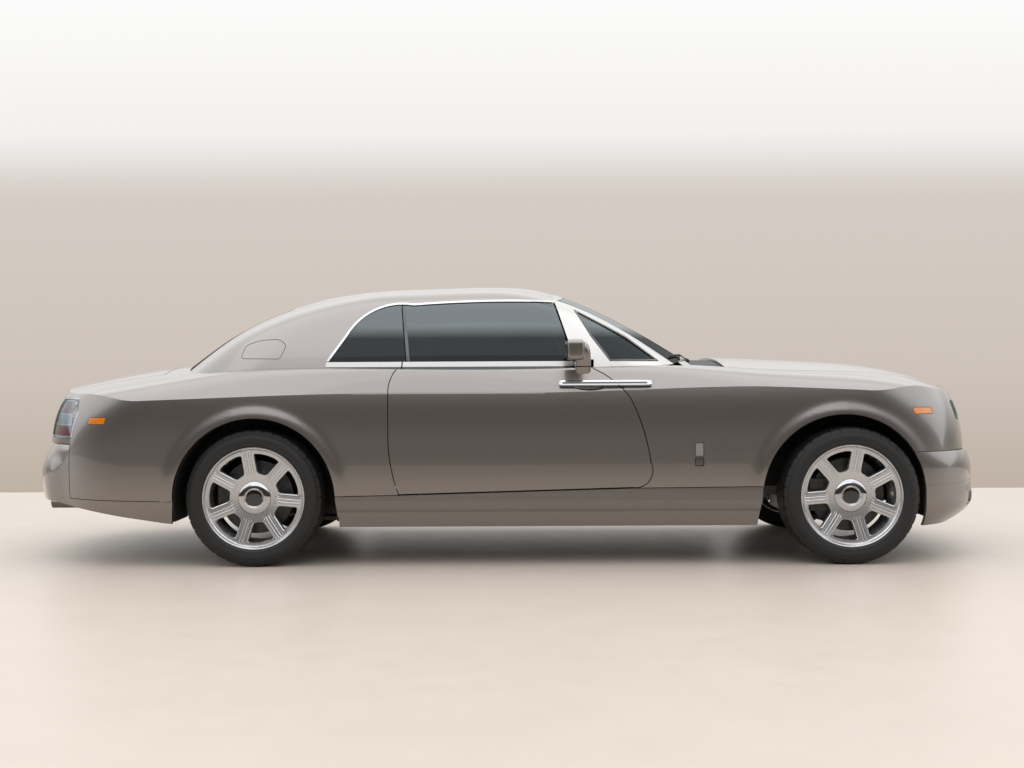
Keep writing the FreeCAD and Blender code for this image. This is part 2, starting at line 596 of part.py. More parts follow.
# Front structure: bulkhead, wheel housings, chassis legs and latch pillars
leg_y = 440.0
leg_half = 45.0
leg_low = 400.0
housing_y = 495.0
bulkhead_wall = 25.0
tunnel_way = block(-1300, 1300, -tunnel_half, tunnel_half, 0, tunnel_top)
beam_wall = 40.0
post_x = 2300.0
under_wall = panel_wall + seat_gap
under_shell = height_loft(body_levels, body_form, under_wall).common(top_loft(under_wall))
front_body = [block(bulkhead_x, bulkhead_x + bulkhead_wall, -900, 900, floor_low, 1060),
              block(beam_front - beam_wall, beam_front, -650, 650, leg_low, leg_low + 110)]
for side in (-1, 1):
    low = min(side * (leg_y - leg_half), side * (leg_y + leg_half))
    front_body.append(block(bulkhead_x, beam_front, low, low + 2 * leg_half, leg_low, leg_low + 110))
    wall = min(side * (housing_y - housing_wall), side * housing_y)
    front_body.append(block(bulkhead_x, 2440, wall, wall + housing_wall, leg_low, 960))
    post = min(side * 850, side * 935)
    front_body.append(block(bulkhead_x - 190, bulkhead_x + bulkhead_wall, post, post + 85, floor_low, 1000))
    # bump stops that the closed bonnet rests on
    front_body.append(Part.makeCylinder(housing_wall / 2, 400, vec(post_x, wall + housing_wall / 2, 900), Z))
front_body = front_body[0].multiFuse(front_body[1:] + [liners[0]]).common(under_shell)
tow_hole = Part.makeCylinder(tow_radius, beam_wall + 20, vec(beam_front - beam_wall - 10, tow_y, tow_z), X)
front_body = front_body.cut([arch_room[0], sill_room, tow_hole, tunnel_way])
parts["front_structure"] = solids_of(front_body)

# Rear structure: seat wall, boot floor, rear panel and wheel housings
boot_floor_z = 500.0
boot_floor_wall = 20.0
housing_inner = 640.0
rear_body = [block(-1165, floor_rear, -cabin_half_width, cabin_half_width, floor_low, 1060),
             block(beam_rear, floor_rear, -housing_inner, housing_inner, boot_floor_z, boot_floor_z + boot_floor_wall),
             block(beam_rear, beam_rear + 20, -housing_inner, housing_inner, boot_floor_z, 760)]
for side in (-1, 1):
    wall = min(side * (housing_inner - housing_wall), side * housing_inner)
    rear_body.append(block(beam_rear, floor_rear, wall, wall + housing_wall, 380, 900))
    # bump stops that the closed boot lid rests on
    rear_body.append(Part.makeCylinder(12.0, 200, vec(beam_rear - 190, side * 400, 735), X))
rear_body = rear_body[0].multiFuse(rear_body[1:] + [liners[1]]).common(under_shell)
# the cover's upper edge leans in over the rear panel
cover_room = block(-3100.0, -2400.0, -wide, wide, 600.0, rear_bumper_top - 4 + seat_gap)
cover_room = cover_room.cut(height_loft(bumper_levels, body_form, bumper_wall + seat_gap))
rear_body = rear_body.cut([arch_room[1], tunnel_way, cover_room])
parts["rear_structure"] = solids_of(rear_body)

# Engine as one plain block, and the exhaust under the tunnel
engine_x = 1780.0
engine_half = 420.0
engine_low = 330.0
parts["engine_block"] = block(engine_x - engine_half, engine_x + engine_half, -300, 300, engine_low, 960)
pipe_r = 36.0
pipe_y = 78.0
pipe_z = 318.0
silencer_y = 430.0
pipe_rear = -2240.0
engine_rear = engine_x - engine_half - seat_gap
pipes = []
for side in (-1, 1):
    pipes.append(Part.makeCylinder(pipe_r, engine_rear - pipe_rear, vec(pipe_rear, side * pipe_y, pipe_z), X))
    pipes.append(Part.makeCylinder(88.0, 420, vec(-2500, side * silencer_y, 378), X))
    low = min(side * pipe_y, side * silencer_y)
    pipes.append(Part.makeCylinder(pipe_r, silencer_y - pipe_y, vec(pipe_rear + pipe_r, low, pipe_z), Y))
    pipes.append(Part.makeCylinder(pipe_r, 240, vec(-2700, side * silencer_y, pipe_z), X))
parts["exhaust"] = solids_of(pipes[0].multiFuse(pipes[1:]))

# Cabin furniture: dashboard, console, seats
dash_half = cabin_half_width - 12
dash_side = [(bulkhead_x, 1060.0), (740.0, 1062.0), (650.0, 1020.0), (640.0, 930.0), (720.0, 880.0), (840.0, 690.0),
             (1000.0, 600.0), (bulkhead_x, 600.0)]
parts["dashboard"] = prism(dash_side, -dash_half, dash_half)
console_side = [(810.0, tunnel_top), (790.0, 680.0), (560.0, 600.0), (-420.0, 590.0), (-450.0, tunnel_top)]
console = prism(console_side, -tunnel_half + 15, tunnel_half - 15)
parts["console"] = console.fuse(prism([(-380.0, 588.0), (-380.0, 680.0), (60.0, 690.0), (120.0, 588.0)], -100, 100))
seat_y = 390.0
seat_half = 235.0
front_seat_side = [(500.0, 330.0), (520.0, 500.0), (60.0, 470.0), (-90.0, 560.0), (-250.0, 1010.0), (-300.0, 1215.0),
                   (-372.0, 1215.0), (-390.0, 1000.0), (-240.0, 420.0), (-150.0, 330.0)]
seat_base = block(-120, 430, seat_y - 200, seat_y + 200, floor_low + floor_wall, 330)
front_seat = prism(front_seat_side, seat_y - seat_half, seat_y + seat_half)
rest = prism([(-150.0, 1010.0), (-150.0, 1400.0), (-500.0, 1400.0), (-500.0, 1010.0)], seat_y + 130, seat_y + 400)
front_seat = front_seat.cut([rest, rest.translated(vec(0, -530, 0))])
parts["front_seats"] = both_sides(front_seat)
parts["seat_bases"] = both_sides(seat_base)
rear_seat_half = 600.0
rear_seat = prism([(-560.0, floor_low + floor_wall), (-560.0, 520.0), (-950.0, 470.0), (-1060.0, 1000.0),
                   (floor_rear, 1000.0), (floor_rear, floor_low + floor_wall)], -rear_seat_half, rear_seat_half)
parts["rear_seat"] = rear_seat.cut(tunnel_way)

# Steering wheel on its column
wheel_centre = vec(520.0, 390.0, 920.0)
column_axis = vec(-math.cos(math.radians(24)), 0, math.sin(math.radians(24)))
rim = Part.makeTorus(185.0, 16.0, wheel_centre, column_axis)
hub = Part.makeCylinder(62.0, 50.0, wheel_centre - column_axis * 45, column_axis)
spoke_bar = Part.makeBox(24.0, 352.0, 36.0, vec(-12, -176, -18))
spoke_bar.Placement = FreeCAD.Placement(wheel_centre - column_axis * 14, FreeCAD.Rotation(vec(1, 0, 0), column_axis))
shaft_radius = 24.0
shaft = Part.makeCylinder(shaft_radius, 160.0, wheel_centre - column_axis * 205, column_axis)
parts["steering_wheel"] = rim.multiFuse([hub, spoke_bar, shaft])
parts["dashboard"] = parts["dashboard"].cut(
    Part.makeCylinder(shaft_radius + seat_gap, 400.0, wheel_centre - column_axis * 560, column_axis))

# Wheels: tyre, seven-spoke rim and brake disc, all turned about the axle
spoke_count = 7
tyre_half = tyre_width / 2
bead_half = rim_width / 2
disc_radius = 205.0
hub_radius = 92.0


def turned(points, centre_y):
    """Ring with this (radius, across) section, turned about the axle line at the origin."""
    ring = [vec(r, centre_y + y, 0) for r, y in points]
    return Part.Face(Part.makePolygon(ring + ring[:1])).revolve(vec(0, 0, 0), Y, 360)


def tyre():
    edges = [line(vec(rim_radius + 1, -bead_half, 0), vec(rim_radius + 1, bead_half, 0)),
             arc(vec(rim_radius + 1, bead_half, 0), vec(rim_radius + 45, tyre_half, 0),
                 vec(tyre_radius - 26, tyre_half - 12, 0)),
             arc(vec(tyre_radius - 26, tyre_half - 12, 0), vec(tyre_radius - 7, tyre_half - 22, 0),
                 vec(tyre_radius - 2, tyre_half - 45, 0)),
             arc(vec(tyre_radius - 2, tyre_half - 45, 0), vec(tyre_radius, 0, 0), vec(tyre_radius - 2, 45 - tyre_half, 0)),
             arc(vec(tyre_radius - 2, 45 - tyre_half, 0), vec(tyre_radius - 7, 22 - tyre_half, 0),
                 vec(tyre_radius - 26, 12 - tyre_half, 0)),
             arc(vec(tyre_radius - 26, 12 - tyre_half, 0), vec(rim_radius + 45, -tyre_half, 0),
                 vec(rim_radius + 1, -bead_half, 0))]
    return Part.Face(Part.Wire(edges)).revolve(vec(0, 0, 0), Y, 360)


# The wheel's outer side is +Y here
window_in = 137.0
window_out = 243.0
spoke_width = 73.0


def rim_body():
    flange = rim_radius + 1
    barrel = turned([(flange, bead_half), (flange - 12, bead_half), (262.0, bead_half - 16), (240.0, -60.0),
                     (262.0, -bead_half + 16), (flange - 12, -bead_half), (flange, -bead_half),
                     (flange, -bead_half + 6), (274.0, -bead_half + 22), (252.0, -60.0),
                     (274.0, bead_half - 24), (flange, bead_half - 8)], 0.0)
    face = turned([(0.0, 92.0), (45.0, 92.0), (70.0, 84.0), (hub_radius, 80.0), (window_out, 98.0), (266.0, 100.0),
                   (266.0, 74.0), (window_out, 62.0), (hub_radius, 36.0), (0.0, 36.0)], 0.0)
    window_turn = 2 * math.pi / spoke_count
    half_out = window_turn / 2 - spoke_width / 2 / window_out
    half_in = window_turn / 2 - spoke_width / 2 / window_in
    cutters = []
    for i in range(spoke_count):
        mid = (i + 0.5) * window_turn

        def at(radius, turn):
            return vec(radius * math.cos(mid + turn), 0, radius * math.sin(mid + turn))

        edges = [line(at(window_in, -half_in), at(window_out, -half_out)),
                 arc(at(window_out, -half_out), at(window_out + 8, 0), at(window_out, half_out)),
                 line(at(window_out, half_out), at(window_in, half_in)),
                 arc(at(window_in, half_in), at(window_in - 5, 0), at(window_in, -half_in))]
        cutters.append(Part.Face(Part.Wire(edges)).extrude(vec(0, 200, 0)))
    return barrel.fuse(face.cut(cutters))


def disc():
    bell = turned([(0.0, 36.0 - seat_gap), (85.0, 36.0 - seat_gap), (85.0, 10.0), (disc_radius, 10.0),
                   (disc_radius, -22.0), (60.0, -22.0), (60.0, 20.0), (0.0, 20.0)], 0.0)
    return bell


upright_y = -45.0
caliper_in = 118.0
ball_r = 30.0
ball_low = -150.0


def upright():
    """Hub carrier with its spindle, arms' seats and brake caliper; outer side +Y."""
    spindle = Part.makeCylinder(48.0, 20.0 - upright_y - seat_gap, vec(0, upright_y, 0), Y)
    plate = block(-75, 75, upright_y - 55, upright_y, -130, 150)
    plate = plate.fuse(Part.makeCylinder(ball_r, 40.0, vec(0, -steer_offset, ball_low), Z))
    grip = block(-215, -caliper_in, -40, 30, -90, 90).cut(
        Part.makeCylinder(disc_radius + 5, 42.0, vec(0, -27, 0), Y))
    bridge = block(-caliper_in - 20, -60, upright_y - 20, -30, -60, 60)
    return plate.multiFuse([spindle, bridge, grip])


tyre_shape = tyre()
rim_shape = rim_body()
disc_shape = disc()
upright_shape = upright()
corners = (("front_left", front_axle, front_wheel_y, 1), ("front_right", front_axle, front_wheel_y, -1),
           ("rear_left", rear_axle, rear_wheel_y, 1), ("rear_right", rear_axle, rear_wheel_y, -1))
for place, axle, across, side in corners:
    def put(shape):
        return (shape if side > 0 else mirrored(shape)).translated(vec(axle, side * across, axle_height))

    parts["tyre_" + place] = put(tyre_shape)
    parts["wheel_" + place] = Part.makeCompound([put(rim_shape), put(disc_shape)])
    if axle == front_axle:
        parts["knuckle_" + place[6:]] = put(upright_shape)

# Subframes: a cross member with a lower and an upper arm to each wheel's carrier
arm_inner = 330.0
arm_wall = 28.0
front_arm_low = axle_height + ball_low - seat_gap - arm_wall
rear_arm_low = axle_height + ball_low
cross_half = 190.0
cross_top = 275.0
front_cross = [block(front_axle - cross_half, front_axle + cross_half, -arm_inner, arm_inner, 195, cross_top)]
rear_cross = [block(rear_axle - cross_half, rear_axle + cross_half, -arm_inner, arm_inner, 225, cross_top)]
for side in (-1, 1):
    for end in (-cross_half, cross_half - 60):
        start = min(side * (arm_inner - 10), side * (leg_y - 10))
        front_cross.append(block(front_axle + end, front_axle + end + 60, start, start + leg_y - arm_inner, 195, cross_top))
        start = min(side * (leg_y - leg_half), side * (leg_y - 10))
        front_cross.append(block(front_axle + end, front_axle + end + 60, start, start + leg_half - 10, 195,
                                 leg_low - seat_gap))
        start = min(side * 250, side * 310)
        rear_cross.append(block(rear_axle + end, rear_axle + end + 60, start, start + 60, 225, boot_floor_z - seat_gap))
    start = min(side * 150, side * 250)
    front_cross.append(block(front_axle - 60, front_axle + 60, start, start + 100, 200, engine_low - seat_gap))
for side in (-1, 1):
    for members, axle, reach, low in ((front_cross, front_axle, steer_y, front_arm_low),
                                      (rear_cross, rear_axle, rear_wheel_y - steer_offset, rear_arm_low)):
        inner = side * (arm_inner - 20)
        outer = side * reach
        plan = [vec(axle - 150, inner, low), vec(axle + 150, inner, low), vec(axle + 32, outer, low),
                vec(axle - 32, outer, low)]
        members.append(Part.Face(Part.makePolygon(plan + plan[:1])).extrude(vec(0, 0, arm_wall)))
front_members = front_cross[0].multiFuse(front_cross[1:])
parts["front_subframe"] = front_members
rear_members = rear_cross[0].multiFuse(rear_cross[1:])
for side in (-1, 1):
    hub_carrier = upright_shape if side > 0 else mirrored(upright_shape)
    rear_members = rear_members.fuse(hub_carrier.translated(vec(rear_axle, side * rear_wheel_y, axle_height)))
parts["rear_subframe"] = rear_members

# Side markers, set into the wings and quarters
# columns: rear, front, low, high
marker_places = ((2264.0, 2392.0, 832.0, 872.0), (-2330.0, -2212.0, 795.0, 836.0))
marker_solids = []
for rear, front, low, high in marker_places:
    cut = prism([(rear - 10, low), (rear, high), (front, high), (front + 8, low)], 0, wide / 2)
    marker = cut.common(body_block).cut(height_loft(body_levels, body_form, 10.0))
    marker_solids += [solids_of(marker), mirrored(solids_of(marker))]
    for piece in ("fender", "quarter"):
        for side in ("left", "right"):
            tool = cut if side == "left" else mirrored(cut)
            if (rear > 0) == (piece == "fender"):
                parts["%s_%s" % (piece, side)] = parts["%s_%s" % (piece, side)].cut(
                    tool.cut(height_loft(body_levels, body_form, 10.0)))
parts["side_markers"] = Part.makeCompound(marker_solids)

os.makedirs("parts", exist_ok=True)
for name, shape in parts.items():
    shape.exportStep("parts/%s.step" % name)
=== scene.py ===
import bmesh
import bpy
import math
import numpy as np
from mathutils import Matrix, Vector


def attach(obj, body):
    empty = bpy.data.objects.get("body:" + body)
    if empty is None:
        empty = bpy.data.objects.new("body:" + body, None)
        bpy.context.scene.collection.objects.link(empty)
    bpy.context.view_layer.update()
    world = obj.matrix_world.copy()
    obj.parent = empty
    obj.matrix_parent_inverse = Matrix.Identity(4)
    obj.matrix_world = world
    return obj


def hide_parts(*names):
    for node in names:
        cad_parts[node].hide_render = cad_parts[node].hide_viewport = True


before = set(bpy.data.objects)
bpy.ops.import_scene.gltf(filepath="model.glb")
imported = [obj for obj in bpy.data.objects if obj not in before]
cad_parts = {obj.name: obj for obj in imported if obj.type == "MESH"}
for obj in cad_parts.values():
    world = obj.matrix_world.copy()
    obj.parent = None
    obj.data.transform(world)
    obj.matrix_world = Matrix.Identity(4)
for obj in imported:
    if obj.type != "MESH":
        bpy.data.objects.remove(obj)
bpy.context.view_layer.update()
scene = bpy.context.scene
scene.view_settings.view_transform = "Standard"

# Camera where the photograph was taken: side on, a little above the door handles, with a lens of 45 mm.
# Its small shift only frames the car as the photograph does.
lens = bpy.data.cameras.new("camera")
lens.lens = 45.0
lens.sensor_width = 36.0
lens.shift_x = -9.0 / 1024.0
lens.shift_y = -12.0 / 1024.0
camera = bpy.data.objects.new("camera", lens)
camera.location = (0.0875, -8.05, 1.077)
camera.rotation_euler = (math.pi / 2, 0.0047, 0.0)
scene.collection.objects.link(camera)
scene.camera = camera

# Light from all round, plain and soft: pale behind the car, darker on the camera's side, where the paint mirrors it,
# and white overhead. The colours go by the angle up from the sides, from straight down at 0 to straight up at 1.


def linear(code):
    """Linear colour from a hex sRGB code."""
    values = [int(code[i:i + 2], 16) / 255 for i in (1, 3, 5)]
    return tuple(v / 12.92 if v <= 0.04045 else ((v + 0.055) / 1.055) ** 2.4 for v in values) + (1.0,)


def node(tree, kind, inputs=None, out=0, to=None, **settings):
    """Add a node with its settings, its inputs as values or links, and a link from one output; gives that output."""
    new = tree.nodes.new(kind)
    for key, value in settings.items():
        setattr(new, key, value)
    for key, value in (inputs or {}).items():
        if isinstance(value, bpy.types.NodeSocket):
            tree.links.new(value, new.inputs[key])
        else:
            new.inputs[key].default_value = value
    result = new.outputs[out] if len(new.outputs) else None
    if to is not None:
        tree.links.new(result, to)
    return result


world = bpy.data.worlds.new("world")
scene.world = world
world.use_nodes = True
tree = world.node_tree
way = node(tree, "ShaderNodeTexCoord", out="Generated")
way_y = node(tree, "ShaderNodeSeparateXYZ", {"Vector": way}, "Y")
way_z = node(tree, "ShaderNodeSeparateXYZ", {"Vector": way}, "Z")
aside = node(tree, "ShaderNodeMath", {0: way_y}, operation="ABSOLUTE")
tilt = node(tree, "ShaderNodeMath", {0: way_z, 1: aside}, operation="ARCTAN2")
level = node(tree, "ShaderNodeMapRange", {"Value": tilt, "From Min": -math.pi / 2, "From Max": math.pi / 2})
bands = []
for stops in (((0.0, "#b5aca2"), (0.44, "#aba196"), (0.495, "#6e6762"), (0.505, "#3f3a37"), (0.57, "#4c4845"),
               (0.62, "#716e6a"), (0.66, "#f4f6fb")),
              ((0.0, "#b9ad9f"), (0.46, "#b9ab9c"), (0.50, "#cdc3ba"), (0.545, "#d5ccc5"), (0.558, "#f2f0ee"),
               (0.60, "#ffffff"))):
    band = node(tree, "ShaderNodeValToRGB", {"Fac": level})
    elements = band.node.color_ramp.elements
    elements[0].position, elements[1].position = stops[0][0], stops[-1][0]
    elements[0].color, elements[1].color = linear(stops[0][1]), linear(stops[-1][1])
    for position, colour in stops[1:-1]:
        elements.new(position).color = linear(colour)
    bands.append(band)
ahead = node(tree, "ShaderNodeMapRange", {"Value": way_y, "From Min": 0.1, "From Max": 0.6})
background = tree.nodes["Background"].inputs
node(tree, "ShaderNodeMix", {"Factor": ahead, "A": bands[0], "B": bands[1]}, "Result", background["Color"],
     data_type="RGBA")
node(tree, "ShaderNodeMapRange", {"Value": level, "From Min": 0.62, "From Max": 0.72, "To Min": 1.0, "To Max": 1.8},
     to=background["Strength"])

# Two soft lamps: a wide one overhead, and a long weak one over the camera that fills the car's side.
for name, place, target, size, power in (
        ("ceiling", (0, -1.6, 4.4), (0, -1.2, 0), (8.0, 4.0), 70.0),
        ("front_fill", (0, -9.0, 4.6), (0, 0, 0.6), (9.0, 1.4), 45.0)):
    light = bpy.data.lights.new(name, "AREA")
    light.shape = "RECTANGLE"
    light.size, light.size_y = size
    light.energy = power
    lamp = bpy.data.objects.new(name, light)
    lamp.location = place
    lamp.rotation_euler = (Vector(target) - Vector(place)).to_track_quat("-Z", "Y").to_euler()
    scene.collection.objects.link(lamp)

# Plain pale floor of ground and sealed screed: even, with a soft sheen in patches 125 mm wide.


def mesh_piece(name, points, faces, smooth=True):
    """New mesh object from points in millimetres."""
    mesh = bpy.data.meshes.new(name)
    mesh.from_pydata([tuple(p) for p in np.asarray(points, float) * 0.001], [], faces)
    mesh.update()
    piece = bpy.data.objects.new(name, mesh)
    scene.collection.objects.link(piece)
    if smooth:
        mesh.polygons.foreach_set("use_smooth", [True] * len(mesh.polygons))
    return piece


def material(name, colour, roughness, metallic=0.0, **values):
    """Principled material with its uniform values on the sockets; gives it, its tree, its inputs and the place."""
    new = bpy.data.materials.new(name)
    new.use_nodes = True
    tree = new.node_tree
    shader = tree.nodes["Principled BSDF"].inputs
    shader["Base Color"].default_value = linear(colour)
    shader["Roughness"].default_value = roughness
    shader["Metallic"].default_value = metallic
    for key, value in values.items():
        shader[key.replace("_", " ")].default_value = value
    return new, tree, shader, node(tree, "ShaderNodeTexCoord", out="Object")


ground, tree, shader, place = material("floor_pale", "#bdb1a3", 0.38, 0.0)
shades = node(tree, "ShaderNodeTexNoise", {"Vector": place, "Scale": 1000 / 333, "Detail": 4.0})
node(tree, "ShaderNodeMix", {"Factor": shades, "A": linear("#b9ada0"), "B": linear("#c0b5a8")}, "Result",
     shader["Base Color"], data_type="RGBA")
patches = node(tree, "ShaderNodeTexNoise", {"Vector": place, "Scale": 1000 / 125, "Detail": 3.0})
node(tree, "ShaderNodeMapRange", {"Value": patches, "To Min": 0.32, "To Max": 0.44}, to=shader["Roughness"])
floor_plane = mesh_piece("floor_plane", [(-30000, -12000, 0), (30000, -12000, 0), (30000, 3630, 0), (-30000, 3630, 0)],
                         [(0, 1, 2, 3)], smooth=False)
floor_plane.data.materials.append(ground)

# Body skin: aluminium panels pressed over dies and welded or bonded to a spaceframe. All of them are cut from one
# crowned form here, so that their joints follow each other. The skin is as thick as the wall with its inner frame.


def remove(*pieces):
    """Take construction solids out of the scene."""
    for piece in pieces:
        bpy.data.objects.remove(piece)


def bake(piece):
    """Apply the modifiers of a piece to its mesh."""
    graph = bpy.context.evaluated_depsgraph_get()
    graph.update()
    mesh = bpy.data.meshes.new_from_object(piece.evaluated_get(graph))
    piece.modifiers.clear()
    piece.data = mesh
    return piece


def boolean(piece, other, operation, keep=False):
    """Cut, join or meet two closed meshes."""
    modifier = piece.modifiers.new("b", "BOOLEAN")
    modifier.operation = operation
    modifier.solver = "MANIFOLD"
    modifier.object = other
    bake(piece)
    if not keep:
        remove(other)
    return piece


def cut(piece, *cutters, keep=()):
    """Take solids away from a piece; those that aren't kept are used up."""
    for cutter in cutters:
        boolean(piece, cutter, "DIFFERENCE", keep=cutter in keep)
    return piece


def meet(piece, other, keep=False):
    """Leave what a piece and a solid share."""
    return boolean(piece, other, "INTERSECT", keep)


def copy_of(piece, name):
    """A second piece with a mesh of its own."""
    new = piece.copy()
    new.data = piece.data.copy()
    new.name = name
    scene.collection.objects.link(new)
    return new


def fix_normals(piece):
    """Faces of a closed mesh turned outwards."""
    bm = bmesh.new()
    bm.from_mesh(piece.data)
    bmesh.ops.recalc_face_normals(bm, faces=bm.faces)
    bm.to_mesh(piece.data)
    bm.free()
    return piece


def ring_solid(name, rings):
    """Closed solid through rings of points in millimetres."""
    count, size = len(rings), len(rings[0])
    faces = [(i * size + j, i * size + (j + 1) % size, (i + 1) * size + (j + 1) % size, (i + 1) * size + j)
             for i in range(count - 1) for j in range(size)]
    faces += [tuple(range(size - 1, -1, -1)), tuple(range((count - 1) * size, count * size))]
    return fix_normals(mesh_piece(name, np.concatenate([np.asarray(r, float) for r in rings]), faces))


def box(x0, x1, y0, y1, z0, z1):
    """Block between six places in millimetres."""
    rings = [[(x, y0, z0), (x, y1, z0), (x, y1, z1), (x, y0, z1)] for x in (x0, x1)]
    return ring_solid("box", rings)


half_length = 2804.5
# columns: height, nose, tail, half width
body_levels = ((200.0, half_length - 74.5, -2700.0, 935.0), (400.0, half_length - 52.5, -2740.0, 984.0),
               (650.0, half_length - 46.5, -2750.0, 991.0), (955.0, half_length - 132.5, -2662.0, 974.0),
               (1190.0, half_length - 304.5, -2430.0, 925.0))


def spline(table, column):
    """Smooth curve through one column of a table, against its first."""
    xs = np.array([row[0] for row in table])
    ys = np.array([row[column] for row in table])
    n, h = len(xs), np.diff(xs)
    a, r = np.eye(n), np.zeros(n)
    for i in range(1, n - 1):
        a[i, i - 1:i + 2] = h[i - 1], 2 * (h[i - 1] + h[i]), h[i]
        r[i] = 6 * ((ys[i + 1] - ys[i]) / h[i] - (ys[i] - ys[i - 1]) / h[i - 1])
    m = np.linalg.solve(a, r)

    def at(x):
        x = np.asarray(x, float)
        i = np.clip(np.searchsorted(xs, x) - 1, 0, n - 2)
        p, q = (xs[i + 1] - x) / h[i], (x - xs[i]) / h[i]
        return p * ys[i] + q * ys[i + 1] + ((p ** 3 - p) * m[i] + (q ** 3 - q) * m[i + 1]) * h[i] ** 2 / 6

    return at


def bend(start, middle, end, count=12):
    """Points of the arc through three points, without its first."""
    ax, ay = start
    bx, by = middle
    cx, cy = end
    d = 2 * (ax * (by - cy) + bx * (cy - ay) + cx * (ay - by))
    ux = ((ax * ax + ay * ay) * (by - cy) + (bx * bx + by * by) * (cy - ay) + (cx * cx + cy * cy) * (ay - by)) / d
    uy = ((ax * ax + ay * ay) * (cx - bx) + (bx * bx + by * by) * (ax - cx) + (cx * cx + cy * cy) * (bx - ax)) / d
    a0, a1, a2 = (math.atan2(y - uy, x - ux) for x, y in (start, middle, end))
    sweep = (a2 - a0) % (2 * math.pi)
    if (a1 - a0) % (2 * math.pi) > sweep:
        sweep -= 2 * math.pi
    r = math.hypot(ax - ux, ay - uy)
    return [(ux + r * math.cos(a0 + sweep * i / count), uy + r * math.sin(a0 + sweep * i / count))
            for i in range(1, count + 1)]


# widest place, side bow, nose bow, nose corner, tail bow, tail corner
body_form = (-150.0, 150000.0, 1832.0, 600.0, 1832.0, 600.0)


def circles_meet(c1, r1, c2, r2, way):
    """Where two circles meet, at the end towards the nose for way 1 or the tail for way -1."""
    dx, dy = c2[0] - c1[0], c2[1] - c1[1]
    d = math.hypot(dx, dy)
    along = (r1 * r1 - r2 * r2 + d * d) / (2 * d)
    side = math.sqrt(r1 * r1 - along * along)
    ends = [(c1[0] + (along * dx - s * dy) / d, c1[1] + (along * dy + s * dx) / d) for s in (side, -side)]
    return max(ends, key=lambda point: way * point[0])


def toward(centre, point, radius):
    """Place on a circle in the direction of a point."""
    d = math.hypot(point[0] - centre[0], point[1] - centre[1])
    return centre[0] + (point[0] - centre[0]) * radius / d, centre[1] + (point[1] - centre[1]) * radius / d


def outline(front, rear, half):
    """Half outline seen from above, from nose to tail, with points about 25 mm apart."""
    widest, side_r, front_r, front_corner, rear_r, rear_corner = body_form
    side = (widest, half - side_r)
    found = []
    for end_x, end_r, corner, way in ((front, front_r, front_corner, 1), (rear, rear_r, rear_corner, -1)):
        end = (end_x - way * end_r, 0.0)
        c = circles_meet(side, side_r - corner, end, end_r - corner, way)
        on_side, on_end = toward(side, c, side_r), toward(end, c, end_r)
        middle = toward(c, ((on_side[0] + on_end[0]) / 2, (on_side[1] + on_end[1]) / 2), corner)
        found.append((end, on_end, middle, on_side))
    (fc, f_end, f_mid, f_side), (rc, r_end, r_mid, r_side) = found
    points = [(front, 0.0)] + bend((front, 0.0), toward(fc, ((front + f_end[0]) / 2, f_end[1] / 2), front_r), f_end, 18)
    points += bend(f_end, f_mid, f_side, 24)
    xs = np.linspace(f_side[0], r_side[0], 181)[1:]
    points += [(x, side[1] + math.sqrt(side_r ** 2 - (x - side[0]) ** 2)) for x in xs]
    points += bend(r_side, r_mid, r_end, 24)
    points += bend(r_end, toward(rc, ((rear + r_end[0]) / 2, r_end[1] / 2), rear_r), (rear, 0.0), 18)
    return np.array(points)


axles = {"front": 1919.5, "rear": -1400.5}
# centre and radius of each wheel arch
arch_lips = ((axles["front"] - 40.0, 460.0), (axles["rear"] + 7.0, 451.0))
arch_height = 376.0


def flare(x, z):
    """How far the wing stands out round the wheels."""
    out = np.zeros_like(x)
    for centre, lip in arch_lips:
        r = np.hypot(x - centre, z - arch_height)
        t = np.clip((lip + 75.0 - r) / 60.0, 0, 1)
        out += 10.0 * t * t * (3 - 2 * t)
    return out


def walls(levels, inset=0.0, flared=False):
    """Closed solid inside the outlines of a table of heights."""
    nose, tail, half = (spline(levels, c) for c in (1, 2, 3))
    rings = []
    low, high = levels[0][0], levels[-1][0]
    for z in np.linspace(low, high, int((high - low) / 18.0) + 1):
        p = outline(float(nose(z)) - inset, float(tail(z)) + inset, float(half(z)) - inset)
        y = p[:, 1] + (flare(p[:, 0], z) * (p[:, 1] > 700) if flared else 0.0)
        ring = np.concatenate([np.stack([p[:, 0], y], 1), np.stack([p[-2:0:-1, 0], -y[-2:0:-1]], 1)])
        rings.append(np.column_stack([ring, np.full(len(ring), z)]))
    return ring_solid("walls", rings)


# columns: place, centre height, crown radius, crease height, crease half width, lean, shoulder radius
top_stations = (
    (-2830.0, 968.0, 3500.0, 880.0, 965.0, 32.0, 200.0), (-2300.0, 1078.0, 3500.0, 905.0, 970.0, 30.0, 220.0),
    (-1700.0, 1148.0, 4500.0, 925.0, 975.0, 28.0, 160.0), (-900.0, 1135.0, 12000.0, 955.0, 974.0, 25.5, 40.0),
    (300.0, 1125.0, 15000.0, 960.0, 974.0, 25.5, 30.0), (1100.0, 1160.0, 6000.0, 970.0, 973.0, 27.0, 120.0),
    (1800.0, 1136.0, 4455.0, 959.0, 972.0, 30.0, 230.0), (2400.0, 1062.0, 4000.0, 915.0, 968.0, 35.0, 200.0),
    (2780.0, 925.0, 3500.0, 860.0, 960.0, 40.0, 160.0))
top_curves = [spline(top_stations, c) for c in range(1, 7)]


